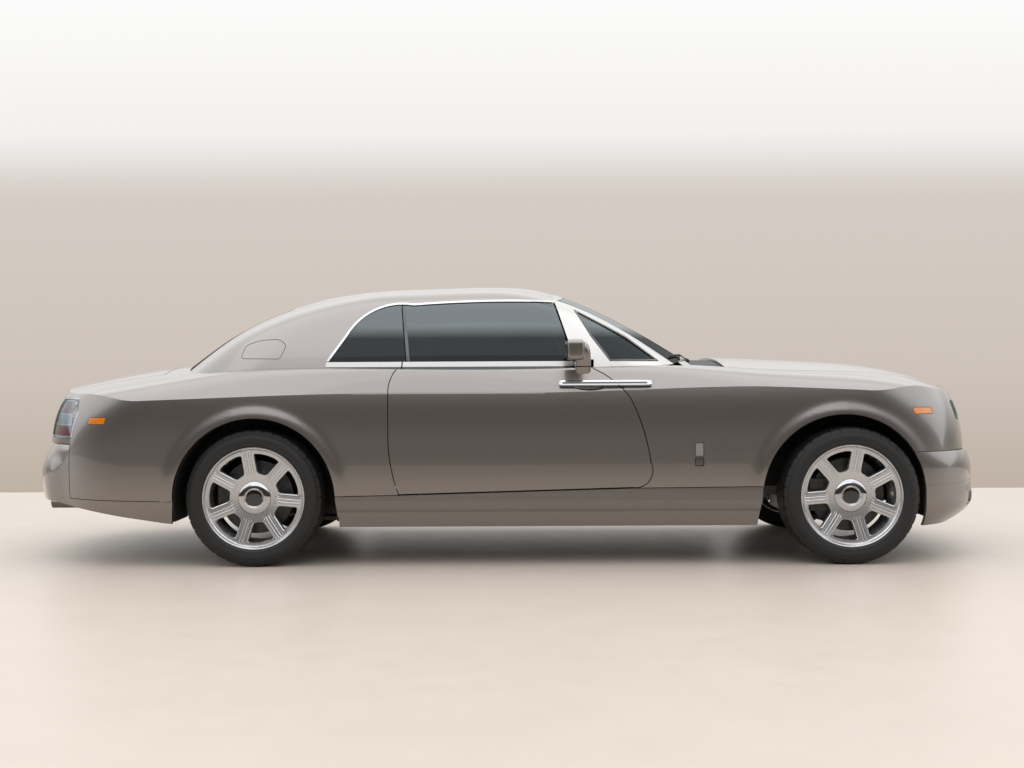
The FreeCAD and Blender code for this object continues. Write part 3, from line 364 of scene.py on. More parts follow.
def top_half(x, drop):
    """Half section under the top surface, from the crown's middle out to below the crease."""
    centre, crown, crease_z, crease_y, lean, shoulder = (float(c(x)) for c in top_curves)
    centre, crease_y, a = centre - drop, crease_y - drop, math.radians(lean)
    hub = (0.0, centre - crown)
    start = (crease_y - shoulder * math.cos(a), crease_z - shoulder * math.sin(a))
    reach = crown - shoulder
    px, pz = start[0] - hub[0], start[1] - hub[1]
    b = -math.sin(a) * px + math.cos(a) * pz
    t = -b + math.sqrt(b * b - (px * px + pz * pz - reach * reach))
    c = (start[0] - math.sin(a) * t, start[1] + math.cos(a) * t)
    on_line = (c[0] + shoulder * math.cos(a), c[1] + shoulder * math.sin(a))
    on_crown = toward(hub, c, crown)
    between = toward(c, ((on_line[0] + on_crown[0]) / 2, (on_line[1] + on_crown[1]) / 2), shoulder)
    half = math.atan2(on_crown[0], on_crown[1] - hub[1])
    points = [(crown * math.sin(half * i / 36), hub[1] + crown * math.cos(half * i / 36)) for i in range(37)]
    points += bend(on_crown, between, on_line, 14)
    foot = (crease_y + 12.0, crease_z - 12.0 / math.tan(a))
    points += [(on_line[0] + (foot[0] - on_line[0]) * i / 8, on_line[1] + (foot[1] - on_line[1]) * i / 8)
               for i in range(1, 9)]
    points += [(1150.0, foot[1] - (1150.0 - foot[0]) * 0.8), (1150.0, 120.0)]
    return points


def under_top(drop=0.0):
    """Closed solid of all that lies under the crowned top surface."""
    rings = []
    for x in np.linspace(-2830.0, 2780.0, 225):
        p = top_half(x, drop)
        rings.append([(x, y, z) for y, z in p] + [(x, -y, z) for y, z in p[:0:-1]])
    return ring_solid("top", rings)


skin_depth = 30.0
solid = meet(walls(body_levels, 0.0, True), under_top())
hollow = meet(walls(body_levels, skin_depth), under_top(skin_depth))
shell = cut(copy_of(solid, "shell"), hollow, keep=(hollow,))
left = meet(copy_of(shell, "left"), box(-3100, 3100, 0.0, 1300, 0, 1400))

# Cabin form: crowned roof, leaning sides and both bowed windows in one closed skin. The roof, its rear pillars, the
# windscreen surround and all the glass are cut from it.


def smaller(a, b, k):
    """The lesser of two distances, rounded where they are alike."""
    h = np.maximum(k - np.abs(a - b), 0.0) / k
    return np.minimum(a, b) - h * h * k / 4


# columns: height, windscreen, rear window, half width
cabin_levels = ((1040.0, 1272.0, -2030.0, 914.0), (1150.0, 1092.0, -1885.0, 870.0), (1300.0, 845.0, -1672.0, 800.0),
                (1470.0, 528.0, -1352.0, 704.0), (1640.0, 190.0, -900.0, 575.0))
cabin_curves = [spline(cabin_levels, c) for c in (1, 2, 3)]
roof_height = 1592.0
roof_crown = 3200.0
window_bow = 3000.0
# side line of the roof
roof_points = [(-1900.0, 1290.0)] + bend((-1900.0, 1290.0), (-1092.0, 1539.0), (-332.0, roof_height), 40)
roof_points += bend((-332.0, roof_height), (258.0, 1577.0), (760.0, 1440.0), 40) + [(1400.0, 1250.0)]
roof_x, roof_z = np.array(roof_points).T
roof_spots = [-1900.0, -1600.0, -1300.0, -1000.0, -720.0, -480.0, -160.0, 90.0, 330.0, 550.0, 760.0, 1080.0, 1400.0]
roof_curve = spline([(x, float(np.interp(x, roof_x, roof_z))) for x in roof_spots], 1)


def inside_cabin(x, y, z, inset):
    """Distance inside the cabin's skin: roof, leaning sides and both windows, with round corners."""
    front, rear, half = (c(z) for c in cabin_curves)
    hub = roof_height - roof_crown
    roof = roof_curve(np.clip(x, -1900.0, 1400.0)) - hub - np.hypot(y, z - hub)
    side = (half - (x + 100.0) ** 2 / 40000.0 - np.abs(y)) * 0.89
    screen = (front - x - y * y / window_bow) * 0.50
    back = (x - rear - y * y / window_bow) * 0.55
    body = smaller(smaller(side, screen, 110.0), back, 170.0)
    return smaller(body, roof, 95.0) - inset


def cabin(inset=0.0, rows=250, columns=170):
    """Closed solid of the cabin, found along lines that fan out from its middle."""
    origin = np.array([-350.0, 0.0, 1000.0])
    a = np.linspace(0, math.pi, rows)[:, None]
    b = np.linspace(-math.pi / 2 + 0.004, math.pi / 2 - 0.004, columns)[None, :]
    way = np.stack(np.broadcast_arrays(np.cos(a) * np.cos(b), np.sin(b), np.sin(a) * np.cos(b)), -1).reshape(-1, 3)
    low, high = np.zeros(len(way)), np.full(len(way), 2600.0)
    for _ in range(34):
        middle = (low + high) / 2
        p = origin + way * middle[:, None]
        within = inside_cabin(p[:, 0], p[:, 1], p[:, 2], inset) > 0
        low, high = np.where(within, middle, low), np.where(within, high, middle)
    points = origin + way * low[:, None]
    faces = [(i * columns + j, i * columns + j + 1, (i + 1) * columns + j + 1, (i + 1) * columns + j)
             for i in range(rows - 1) for j in range(columns - 1)]
    edge = list(range(columns)) + [i * columns + columns - 1 for i in range(1, rows)]
    edge += [(rows - 1) * columns + j for j in range(columns - 2, -1, -1)]
    edge += [i * columns for i in range(rows - 2, 0, -1)]
    faces.append(tuple(reversed(edge)))
    return fix_normals(mesh_piece("cabin", points, faces))


cabin_solid = cabin()
cabin_inner = cabin(34.0, 140, 100)
cabin_shell = cut(copy_of(cabin_solid, "cabin_shell"), cabin_inner, solid, keep=(cabin_inner, solid))

# Front wings: pressed aluminium skins round the wheels, with openings for lamp, marker and grille. Each is bolted
# to the front structure along the bonnet's joint, with a 5 mm gap to door and bonnet.


def side_prism(points, y0=0, y1=1300):
    """Side-view outline of (x, z) points run across the car, through its left side where no ends are given."""
    return ring_solid("prism", [[(x, y, z) for x, z in points] for y in (y0, y1)])


def top_prism(points, z0, z1):
    """Top-view outline of (x, y) points, mirrored about the middle, run upwards."""
    whole = list(points) + [(x, -y) for x, y in reversed(points)]
    return ring_solid("prism", [[(x, y, z) for x, y in whole] for z in (z0, z1)])


def front_prism(points, x0, x1):
    """Front-view outline of (y, z) points run along the car."""
    return ring_solid("prism", [[(x, y, z) for y, z in points] for x in (x0, x1)])


def offset(points, by):
    """Closed outline moved outwards, or inwards where by is below 0."""
    p = np.asarray(points, float)
    area = 0.5 * np.sum(p[:, 0] * np.roll(p[:, 1], -1) - np.roll(p[:, 0], -1) * p[:, 1])
    ahead = np.roll(p, -1, 0) - p
    ahead /= np.linalg.norm(ahead, axis=1)[:, None]
    behind = np.roll(ahead, 1, 0)
    sign = 1 if area > 0 else -1
    n1 = sign * np.stack([behind[:, 1], -behind[:, 0]], 1)
    n2 = sign * np.stack([ahead[:, 1], -ahead[:, 0]], 1)
    middle = n1 + n2
    middle /= np.linalg.norm(middle, axis=1)[:, None]
    scale = by / np.maximum(np.sum(middle * n1, 1), 0.5)
    return [tuple(v) for v in p + middle * scale[:, None]]


# Metallic acrylic lacquer, grey-taupe, sprayed and polished: aluminium flakes under a clear coat give a soft shimmer.
# Real flakes are finer than 0.1 mm, and are drawn at 0.4 mm to show.
paint, tree, shader, place = material("paint", "#827d7b", 0.27, 0.9, Coat_Weight=1.0, Coat_Roughness=0.02)
flakes = node(tree, "ShaderNodeTexNoise", {"Vector": place, "Scale": 1000 / 0.385, "Detail": 1.0})
node(tree, "ShaderNodeMix", {"Factor": flakes, "A": linear("#736e6a"), "B": linear("#8e8883")}, "Result",
     shader["Base Color"], data_type="RGBA")
node(tree, "ShaderNodeMapRange", {"Value": flakes, "To Min": 0.24, "To Max": 0.36}, to=shader["Roughness"])

gap = 5.0


def traced(start, steps):
    """Outline from lines and arcs: each step is a point, or an arc's middle and end."""
    points = [start]
    for step in steps:
        points += [step[0]] if len(step) == 1 else bend(points[-1], step[0], step[1])
    return points


door_points = traced((490.0, 1200.0), [
    ((490.0, 1095.0),), ((610.0, 1020.0), (694.0, 929.0)), ((762.0, 760.0), (802.0, 575.0)),
    ((790.0, 468.0), (700.0, 437.0)), ((-592.0, 403.0),), ((-634.0, 560.0), (-649.0, 720.0)),
    ((-650.0, 985.0),), ((-632.0, 1057.0), (-587.0, 1118.0)), ((-587.0, 1200.0),)])


def smooth_plan(points):
    """Top-view edge through the corners of a plan, with no corners of its own."""
    at = spline(points, 1)
    return [(float(x), float(at(x))) for x in np.linspace(points[0][0], points[-1][0], 90)]


bonnet_edge = smooth_plan([(1245.0, 769.0), (1450.0, 767.0), (1700.0, 738.0), (1950.0, 685.0), (2200.0, 610.0),
                           (2420.0, 512.0), (2640.0, 385.0)])


def plan_grown(points, by):
    """Half plan made wider and longer by a gap."""
    xs = [x for x, y in points]
    return [(x + (by if x == max(xs) else -by if x == min(xs) else 0.0), y + by) for x, y in points]


sill_line = [(-950.0, 391.0), (-592.0, 397.0), (700.0, 431.0), (1425.0, 436.0)]
sill_room = [(-1050.0, 0.0), (-1050.0, 395.0)] + [(x, z + 4) for x, z in sill_line] + [(1485.0, 0.0)]


def across(radius, centre, y0, y1, count):
    """Cylinder across the car about (x, z)."""
    turn = [2 * math.pi * i / count for i in range(count)]
    return ring_solid("cylinder", [[(centre[0] + radius * math.cos(a), y, centre[1] + radius * math.sin(a))
                                    for a in turn] for y in (y0, y1)])


def arch_cuts(side=1):
    """The openings of both wheel arches on one side of the car."""
    tools = []
    for x, r in arch_lips:
        tools.append(across(r, (x, arch_height), side * 700.0, side * 1300.0, 220))
        tools.append(side_prism([(x - r, arch_height), (x + r, arch_height), (x + r + 20, 80.0), (x - r - 30, 80.0)],
                                side * 700, side * 1300))
    return tools


def pocket(points):
    """Shallow recess in the side of the car, inside a side-view outline."""
    return cut(side_prism(points, 800, 1300), walls(body_levels, 12.0))


grille_half = 350.0


def softened(points, r):
    """Outline with each corner rounded."""
    p = [np.array(v, float) for v in points]
    found = []
    for i, corner in enumerate(p):
        before, after = p[i - 1] - corner, p[(i + 1) % len(p)] - corner
        start, end = (corner + v / np.linalg.norm(v) * r for v in (before, after))
        for t in np.linspace(0.0, 1.0, 7):
            found.append(tuple(start * (1 - t) ** 2 + 2 * corner * t * (1 - t) + end * t * t))
    return found


head_outline = softened([(440, 792), (440, 903), (695, 903), (695, 792)], 28.0)
marker_points = (softened([(2264, 872), (2387, 872), (2400, 832), (2274, 832)], 9.0),
                 softened([(-2320, 836), (-2212, 836), (-2226, 795), (-2332, 795)], 9.0))


def mirrored(piece, name):
    """The same piece on the other side of the car."""
    new = copy_of(piece, name)
    new.data.transform(Matrix.Scale(-1, 4, Vector((0, 1, 0))))
    new.data.flip_normals()
    return new


def finish_edges(piece, angle):
    """Smooth shading with sharp edges above an angle."""
    mesh = piece.data
    mesh.polygons.foreach_set("use_smooth", [True] * len(mesh.polygons))
    mesh.set_sharp_from_angle(angle=math.radians(angle))
    return piece


def wear(piece, look):
    """One material all over a piece."""
    piece.data.materials.clear()
    piece.data.materials.append(look)
    return piece


def dress(piece, look, body, *nodes, slot=None, angle=17.0):
    """Material, shading, body and the CAD nodes that the piece stands for."""
    if look is not None:
        wear(piece, look)
    finish_edges(piece, angle)
    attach(piece, body)
    if nodes:
        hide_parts(*nodes)
    return piece


def both(piece, name, look, body, *nodes, angle=17.0, slot=None):
    """Dress a left piece and its copy on the right; body and node names ending in _ get the side added."""
    pair = (("left", piece), ("right", mirrored(piece, name + "_right")))
    piece.name = name + "_left"
    for side, one in pair:
        full = [n + side if n.endswith("_") else n for n in (body,) + nodes]
        dress(one, look, full[0], *full[1:], angle=angle, slot=slot)
    return [one for side, one in pair]


wing = meet(copy_of(left, "wing"), box(480, 3100, 0, 1300, 0, 1400))
cut(wing, side_prism(offset(door_points, gap / 2)), top_prism(plan_grown(bonnet_edge, gap), 870, 1400),
    side_prism(sill_room), box(2300, 3100, -10, grille_half, 600, 1000),
    front_prism(head_outline, 2250, 3100), pocket(marker_points[0]), box(1050, 1305, -10, 775, 1000, 1400),
    box(-1150, 1000, -10, 830, 0, 1400), box(axles["front"], 3100, -10, 1300, 0, 625), *arch_cuts())
both(wing, "front_wing", paint, "body", "fender_", slot="paint")

# Rear quarters and deck: pressed aluminium round the rear wheels and under the rear window, welded to the body. Beside
# the rear seat the quarter is as thick as the wall, with its trim on the inside.

# Dark brown hide of dashboard and console, finer in its grain (1.9 mm) and dull against glare.
dash, tree, shader, place = material("dash", "#2a211b", 0.48, 0.0)
mottle = node(tree, "ShaderNodeTexNoise", {"Vector": place, "Scale": 1000 / 100})
node(tree, "ShaderNodeMix", {"Factor": mottle, "A": linear("#211a15"), "B": linear("#352a22")}, "Result",
     shader["Base Color"], data_type="RGBA")
pebbles = node(tree, "ShaderNodeTexVoronoi", {"Vector": place, "Scale": 1000 / 1.92})
node(tree, "ShaderNodeBump", {"Height": pebbles, "Strength": 0.3, "Distance": 0.0006}, to=shader["Normal"])

boot_edge = [(-1985.0, 610.0), (-2850.0, 610.0)]
tail_outline = softened([(640, 712), (640, 940), (862, 940), (862, 712)], 24.0)


def tint(piece, look, test):
    """Another material on the faces that a test of their centres and directions picks out."""
    mesh = piece.data
    centres, ways = np.empty(3 * len(mesh.polygons)), np.empty(3 * len(mesh.polygons))
    mesh.polygons.foreach_get("center", centres)
    mesh.polygons.foreach_get("normal", ways)
    index = np.empty(len(mesh.polygons), int)
    mesh.polygons.foreach_get("material_index", index)
    mesh.materials.append(look)
    index[test(centres.reshape(-1, 3) * 1000.0, ways.reshape(-1, 3))] = len(mesh.materials) - 1
    mesh.polygons.foreach_set("material_index", index)


quarter = meet(copy_of(left, "quarter"), box(-3100, -500, 0, 1300, 0, 1400))
post = meet(box(-1150, -500, 838, 1300, 300, 1400), solid, keep=True)
boolean(quarter, post, "UNION")
valance = [(-1780.0, 100.0), (-1780.0, 368.0), (-2454.0, 380.5), (-2452.0, 684.0), (-3100.0, 684.0), (-3100.0, 100.0)]
cut(quarter, side_prism(offset(door_points, gap / 2)), side_prism(sill_room),
    top_prism(plan_grown(boot_edge, gap), 684, 1400), front_prism(tail_outline, -3000, -2440), side_prism(valance),
    pocket(marker_points[1]),
    box(-1150, 1000, -10, 830, 0, 1400), box(-1990, -1150, -10, 616, 1000, 1400), *arch_cuts())
for piece in both(quarter, "rear_quarter", paint, "body", "quarter_", slot="paint"):
    tint(piece, dash, lambda c, n: (np.abs(c[:, 1]) < 845) & (np.abs(n[:, 1]) > 0.7) & (c[:, 0] > -1160))
deck = meet(copy_of(shell, "rear_deck_skin"), box(-1979, -1150, -616, 616, 1000, 1400))
dress(deck, paint, "body", "rear_deck", slot="paint")

# Doors, hinged at the rear: an outer panel clinched over a thick inner frame that is set back all round. A slot takes
# the glass, and a scoop behind the handle takes the hand.
door = meet(copy_of(solid, "door"), side_prism(offset(door_points, -gap / 2), 830, 1300))
rim = cut(side_prism(offset(door_points, 1.0)), side_prism(offset(door_points, -28.0), -5, 1305))
cut(door, meet(rim, hollow, keep=True))
slot_space = cut(copy_of(cabin_solid, "slot"), cabin(14.0, 120, 90))
meet(slot_space, box(-580, 375, 500, 1300, 1000, 1300))
cut(door, slot_space)
scoop = ring_solid("scoop", [[(470 + 92 * math.cos(a) * math.sin(b), 968 + 34 * math.cos(b),
                               998 + 26 * math.sin(a) * math.sin(b))
                              for a in np.linspace(0, 2 * math.pi, 64, endpoint=False)]
                             for b in np.linspace(0.02, 3.12, 32)])
cut(door, scoop)
for piece in both(door, "door_panel", paint, "door_", "door_", slot="paint"):
    tint(piece, dash, lambda c, n: (np.abs(c[:, 1]) < 834) & (np.abs(n[:, 1]) > 0.7))

# Bonnet and boot lid: pressed skins over a frame, hinged at the windscreen and the rear window. The bonnet is brushed
# metal under lacquer, the boot lid is painted, and both are dark underneath.
bonnet = meet(copy_of(shell, "bonnet_skin"), top_prism(bonnet_edge, 880, 1400))
cut(bonnet, box(2300, 3100, -grille_half, grille_half, 600, 1000))
boot = meet(copy_of(shell, "boot_skin"), top_prism(boot_edge, 690, 1400))

# Brushed stainless steel under a thin lacquer: long fine scratches 0.4 mm apart draw its light out across the brushing.
satin, tree, shader, place = material("satin_metal", "#b4b2ae", 0.30, 0.85, Coat_Weight=0.35, Coat_Roughness=0.08)
brushed = node(tree, "ShaderNodeMapping", {"Vector": place, "Scale": (1000 / 55, 1000 / 0.37, 1000 / 0.37)})
scratches = node(tree, "ShaderNodeTexNoise", {"Vector": brushed, "Scale": 1.0})
node(tree, "ShaderNodeMapRange", {"Value": scratches, "To Min": 0.24, "To Max": 0.36}, to=shader["Roughness"])

# Black polypropylene of wipers, cowl, seals and lamp housings, moulded with a 1 mm grain that keeps it dull.
black, tree, shader, place = material("black_plastic", "#16161a", 0.55, 0.0)
grain = node(tree, "ShaderNodeTexNoise", {"Vector": place, "Scale": 1000 / 1.11, "Detail": 3.0})
node(tree, "ShaderNodeBump", {"Height": grain, "Strength": 0.2, "Distance": 0.0004}, to=shader["Normal"])
patches = node(tree, "ShaderNodeTexNoise", {"Vector": place, "Scale": 1000 / 50})
node(tree, "ShaderNodeMapRange", {"Value": patches, "To Min": 0.48, "To Max": 0.62}, to=shader["Roughness"])

dress(bonnet, satin, "bonnet", "bonnet", slot="satin_metal")
dress(boot, paint, "boot_lid", "boot_lid", slot="paint")
for piece in (bonnet, boot):
    tint(piece, black, lambda c, n: n[:, 2] < -0.25)

# Roof with its rear pillars: one large aluminium pressing, painted outside and lined with cloth inside. The window
# openings are cut out of it, and a shallow recess takes the fuel flap.
window_points = traced((284.0, 1477.0), [
    ((-84.0, 1481.0), (-527.0, 1461.0)), ((-790.0, 1404.0), (-896.0, 1283.0)), ((-1001.0, 1128.0),),
    ((-1001.0, 1000.0),), ((391.0, 1000.0),), ((391.0, 1146.0),)])
back_front = [(-640.0, 1000.0), (640.0, 1000.0), (640.0, 1100.0), (520.0, 1450.0)]
back_front += bend((520.0, 1450.0), (0.0, 1480.0), (-520.0, 1450.0), 24) + [(-640.0, 1100.0)]
roof = meet(copy_of(cabin_shell, "roof_skin"), box(-2300, 283, -1200, 1200, 1000, 1800))
flap_points = softened([(-1500.0, 1160.0), (-1478.0, 1236.0), (-1400.0, 1262.0), (-1290.0, 1270.0), (-1240.0, 1238.0),
                        (-1272.0, 1156.0)], 22.0)
flap_deep = cut(side_prism(offset(flap_points, 1.5), -1300, 0), cabin(20.0, 120, 90))
cut(roof, side_prism(window_points, -1300, 1300), front_prism(back_front, -2300, -1250), flap_deep)

# Knitted wool cloth of the headlining, glued to a board: a pale nap whose 1 mm loops give it a soft sheen.
headliner, tree, shader, place = material("headliner", "#b3a796", 0.95, 0.0, Sheen_Weight=0.4)
loops = node(tree, "ShaderNodeTexNoise", {"Vector": place, "Scale": 1000 / 1.11})
node(tree, "ShaderNodeMix", {"Factor": loops, "A": linear("#a59a89"), "B": linear("#bfb3a2")}, "Result",
     shader["Base Color"], data_type="RGBA")
node(tree, "ShaderNodeBump", {"Height": loops, "Strength": 0.3, "Distance": 0.0006}, to=shader["Normal"])


def lining(c, n):
    """Faces on the cabin's inner side, by their centres."""
    return inside_cabin(c[:, 0], c[:, 1], c[:, 2], 17.0) > 0


dress(roof, paint, "body", "roof", slot="paint")
tint(roof, headliner, lining)

# Fuel flap: a small pressed and painted cover in the right rear pillar, hinged along its lower edge, 3 mm clear of
# its recess.
flap = meet(side_prism(offset(flap_points, -1.5), -1300, 0), cabin_solid, keep=True)
cut(flap, cabin(12.0, 120, 90), copy_of(solid, "s"))
flap.name = "fuel_flap_skin"
dress(flap, paint, "fuel_flap", "fuel_flap", slot="paint")

# Windscreen surround with the front quarterlights' frames: cast and welded aluminium, brushed and lacquered, and
# lined with cloth inside.
frame_zone = [(283.0, 1750.0), (283.0, 1477.0), (284.0, 1477.0), (391.0, 1146.0), (496.0, 1146.0), (496.0, 1000.0),
              (1500.0, 1000.0), (1500.0, 1750.0)]
quarter_points = [(400.0, 1433.0), (489.0, 1277.0), (590.0, 1142.0), (858.0, 1142.0), (688.0, 1276.0)]
screen_front = [(-742.0, 1000.0), (742.0, 1000.0), (742.0, 1100.0), (596.0, 1492.0)]
screen_front += bend((596.0, 1492.0), (0.0, 1534.0), (-596.0, 1492.0), 24) + [(-742.0, 1100.0)]
surround = meet(copy_of(cabin_shell, "surround"), side_prism(frame_zone, -1300, 1300))
cut(surround, side_prism(window_points, -1300, 1300), front_prism(screen_front, 300, 1500),
    side_prism(quarter_points, -1300, 1300))
dress(surround, satin, "body", "windscreen_frame", slot="satin_metal")
tint(surround, headliner, lining)

# Glass: windscreen, rear window and quarterlights of curved glass 5 mm thick, bonded into their frames. The door
# glasses stand in the doors' slots with no frame of their own, and ride with them.


def join(name, pieces):
    """One object from several."""
    bm = bmesh.new()
    looks = []
    for piece in pieces:
        start = len(bm.faces)
        slots = []
        for look in piece.data.materials:
            if look not in looks:
                looks.append(look)
            slots.append(looks.index(look))
        bm.from_mesh(piece.data)
        bm.faces.ensure_lookup_table()
        for face in bm.faces[start:]:
            face.material_index = slots[face.material_index] if slots else 0
    mesh = bpy.data.meshes.new(name)
    bm.to_mesh(mesh)
    bm.free()
    for look in looks:
        mesh.materials.append(look)
    piece = bpy.data.objects.new(name, mesh)
    scene.collection.objects.link(piece)
    remove(*pieces)
    return piece


def pane(name, low, high, shine, painted_low_mirror):
    """Thin clear material: tinted see-through under a mirror, which painted shade dims below the waist."""
    new, tree, shader, place = material(name, high, 0.02)
    shades = node(tree, "ShaderNodeTexNoise", {"Vector": place, "Scale": 1000 / 667})
    shade = node(tree, "ShaderNodeMix", {"Factor": shades, "A": linear(low), "B": linear(high)}, "Result",
                shader["Base Color"], data_type="RGBA")
    through = node(tree, "ShaderNodeBsdfTransparent", {"Color": shade})
    mirror = node(tree, "ShaderNodeBsdfGlossy", {"Color": linear("#e6f0f2"), "Roughness": 0.01})
    edge = node(tree, "ShaderNodeFresnel", {"IOR": shine})
    height = node(tree, "ShaderNodeSeparateXYZ", {"Vector": place}, "Z")
    # Painted shade: below 1.27 m the mirror keeps only a share of its Fresnel strength, so the lower part looks darker.
    painted_mirror_dimming = node(tree, "ShaderNodeMapRange", {"Value": height, "From Min": 1.27, "From Max": 1.34, "To Min": painted_low_mirror})
    share = node(tree, "ShaderNodeMath", {0: edge, 1: painted_mirror_dimming}, operation="MULTIPLY")
    node(tree, "ShaderNodeMixShader", {0: share, 1: through, 2: mirror},
         to=tree.nodes["Material Output"].inputs["Surface"])
    return new


# Laminated safety glass, float glass tinted greenish grey: dark to look through, bright where it mirrors the light.
# Below 1.27 m its mirror is turned down to 0.22 of its strength, as painted shade.
glass = pane("glass", "#5c6663", "#66706d", 2.0, 0.22)

pane_shell = cut(cabin(1.5), cabin(6.5), solid, keep=(solid,))
screen = meet(copy_of(pane_shell, "screen_glass"), front_prism(screen_front, 300, 1500))
dress(screen, glass, "body", "windscreen", slot="glass")
back = meet(copy_of(pane_shell, "back_glass"), front_prism(back_front, -2300, -1250))
dress(back, glass, "body", "rear_window", slot="glass")
side_pane = meet(copy_of(pane_shell, "side_pane"), side_prism(window_points, -1300, 1300))
rear_zone = [(-1100.0, 1000.0), (-1100.0, 1600.0), (-596.0, 1600.0), (-596.0, 1450.0), (-559.0, 1130.0),
             (-620.0, 1110.0), (-620.0, 1000.0)]
rear_pane = meet(copy_of(side_pane, "rear_pane"), side_prism(rear_zone, -1300, 1300))
corner_pane = meet(copy_of(pane_shell, "corner_pane"), side_prism(quarter_points, -1300, 1300))
dress(join("side_panes", [rear_pane, corner_pane]), glass, "body", "side_glass", slot="glass")
full_pane = cut(cabin(1.5, 180, 120), cabin(6.5, 180, 120))
door_zone = [(276.0, 1600.0), (276.0, 1469.0), (383.0, 1138.0), (383.0, 1085.0), (-553.0, 1085.0), (-553.0, 1130.0),
             (-590.0, 1450.0), (-590.0, 1600.0)]
door_pane = meet(meet(full_pane, side_prism(offset(window_points, -6.0))), side_prism(door_zone))
remove(side_pane, pane_shell)
door_pane.name = "door_pane_left"
dress(mirrored(door_pane, "door_pane_right"), glass, "door_right", "door_glass_right", slot="glass")
dress(door_pane, glass, "door_left", "door_glass_left", slot="glass")

# Bumper covers: moulded polyurethane, painted with the body and clipped to their beams. The front one has intakes, fog
# lamp holes and the towing eye's window; the rear one runs on as a valance to the wheels, with a lip behind its joint.
# columns: height, nose, tail, half width
bumper_levels = ((165.0, half_length - 190.0, -half_length + 260.0, 915.0),
                 (290.0, half_length - 12.0, -half_length + 60.0, 960.0),
                 (420.0, half_length - 1.0, -half_length + 6.0, 986.0),
                 (550.0, half_length - 4.0, -half_length + 4.0, 990.0),
                 (690.0, half_length - 70.0, -half_length + 76.0, 990.0))


def round_rect(a0, a1, b0, b1, r, count=6):
    """Corner points of a rectangle with round corners."""
    points = []
    for ca, cb, start in ((a1 - r, b1 - r, 0), (a0 + r, b1 - r, 1), (a0 + r, b0 + r, 2), (a1 - r, b0 + r, 3)):
        for i in range(count + 1):
            t = math.pi / 2 * (start + i / count)
            points.append((ca + r * math.cos(t), cb + r * math.sin(t)))
    return points


bumper = cut(walls(bumper_levels), walls(bumper_levels, 28.0))
flange = cut(walls(bumper_levels, 1.0), walls(body_levels, 22.0))
meet(flange, box(-2500, -2458, -1300, 1300, 378, 679))
front_cover = meet(copy_of(bumper, "front_cover"), box(axles["front"], 3100, -1300, 1300, 200, 622))
groove = cut(side_prism([(2250.0, 428.0), (2250.0, 432.0), (2900.0, 457.0), (2900.0, 453.0)], -1300, 1300),
             walls(bumper_levels, 5.0))
intake = [(-560.0, 235.0), (560.0, 235.0), (540.0, 330.0), (0.0, 350.0), (-540.0, 330.0)]
fog_holes = [front_prism(round_rect(y, y + 92, 300, 380, 16), 2300, 3100) for y in (600, -692)]
cut(front_cover, groove, front_prism(round_rect(-440, -320, 407, 503, 10), 2500, 3100),
    front_prism(intake, 2300, 3100), *fog_holes, *arch_cuts(), *arch_cuts(-1))
dress(front_cover, paint, "body", "front_bumper", slot="paint")
rear_points = [(-1784.0, 100.0), (-1784.0, 364.0), (-2458.0, 376.5), (-2456.0, 680.0), (-3100.0, 680.0),
               (-3100.0, 100.0)]
slope = [(-1700.0, 100.0), (-1700.0, 226.0), (-1886.0, 243.0), (-2553.0, 349.0), (-3100.0, 400.0), (-3100.0, 100.0)]
rear_cover = meet(bumper, side_prism(rear_points, -1300, 1300))
cut(rear_cover, side_prism(slope, -1300, 1300), *arch_cuts(), *arch_cuts(-1))


def fall_in(piece, whole):
    """The cover's side falls in towards its joint, until it is flush with the quarter panel."""
    p = np.array([v.co for v in piece.data.vertices]) * 1000.0
    tables = [[spline(levels, c) for c in (1, 2, 3)] for levels in (bumper_levels, body_levels)]
    for i, (x, y, z) in enumerate(p):
        if abs(y) < 500.0 or x < -2640.0:
            continue
        sides = []
        for nose, tail, half in tables:
            level = max(z, arch_height)
            line = outline(float(nose(level)), float(tail(level)), float(half(level)))[::-1]
            sides.append(float(np.interp(x, line[:, 0], line[:, 1])))
        step = sides[0] - sides[1]
        a = np.clip((x + 2640.0) / 184.0, 0, 1)
        share = 1.0 if whole else min(1.0, max(0.0, (abs(y) - sides[1] + 22.0) / (step + 22.0)))
        move = max(0.0, step) * share * a * a * (3 - 2 * a)
        piece.data.vertices[i].co.y -= math.copysign(move, y) * 0.001


fall_in(rear_cover, True)
fall_in(flange, False)
rear_cover = join("rear_cover", [rear_cover, flange])
dress(rear_cover, paint, "body", "rear_bumper", slot="paint")

# Wheels of 21 inches: cast and forged aluminium with seven grooved spokes, in silver lacquer, bolted to the hub under
# a plated cap with a plain black disc. The cast-iron brake disc sits behind the spokes and is part of the same piece.
rim_profile = [(285, 109), (285, 114.5), (283.5, 117), (280.5, 117.5), (277, 116), (273.5, 111), (270, 104),
               (266, 100.5), (262, 99.8), (258.5, 97.5), (256.5, 94), (255.5, 88), (254, 78), (250, 58), (246, 30),
               (243, 0), (241, -40), (243, -70), (256, -90), (262, -101), (270, -110), (278, -117), (285, -117.5),
               (285, -111), (279, -107), (272, -96), (264, -84), (252, -62), (252, -50), (254, 0), (258, 40), (264, 70),
               (270, 90), (276, 103), (281, 108)]
cap_profile = [(89.6, 76), (89.6, 81), (88.6, 83.4), (86, 85.2), (80, 88.3), (72, 91), (63, 93), (56, 94), (54.5, 93.2),
               (53.6, 92.2), (52.6, 92.2), (51.8, 93.2), (50.4, 93.6), (48.6, 93), (47.4, 91.6), (46, 91.2), (46, 76)]
badge_profile = [(0.0, 92.4), (20, 92.3), (36, 91.9), (44, 91.2), (45.8, 90.4), (45.8, 84), (0.0, 84)]
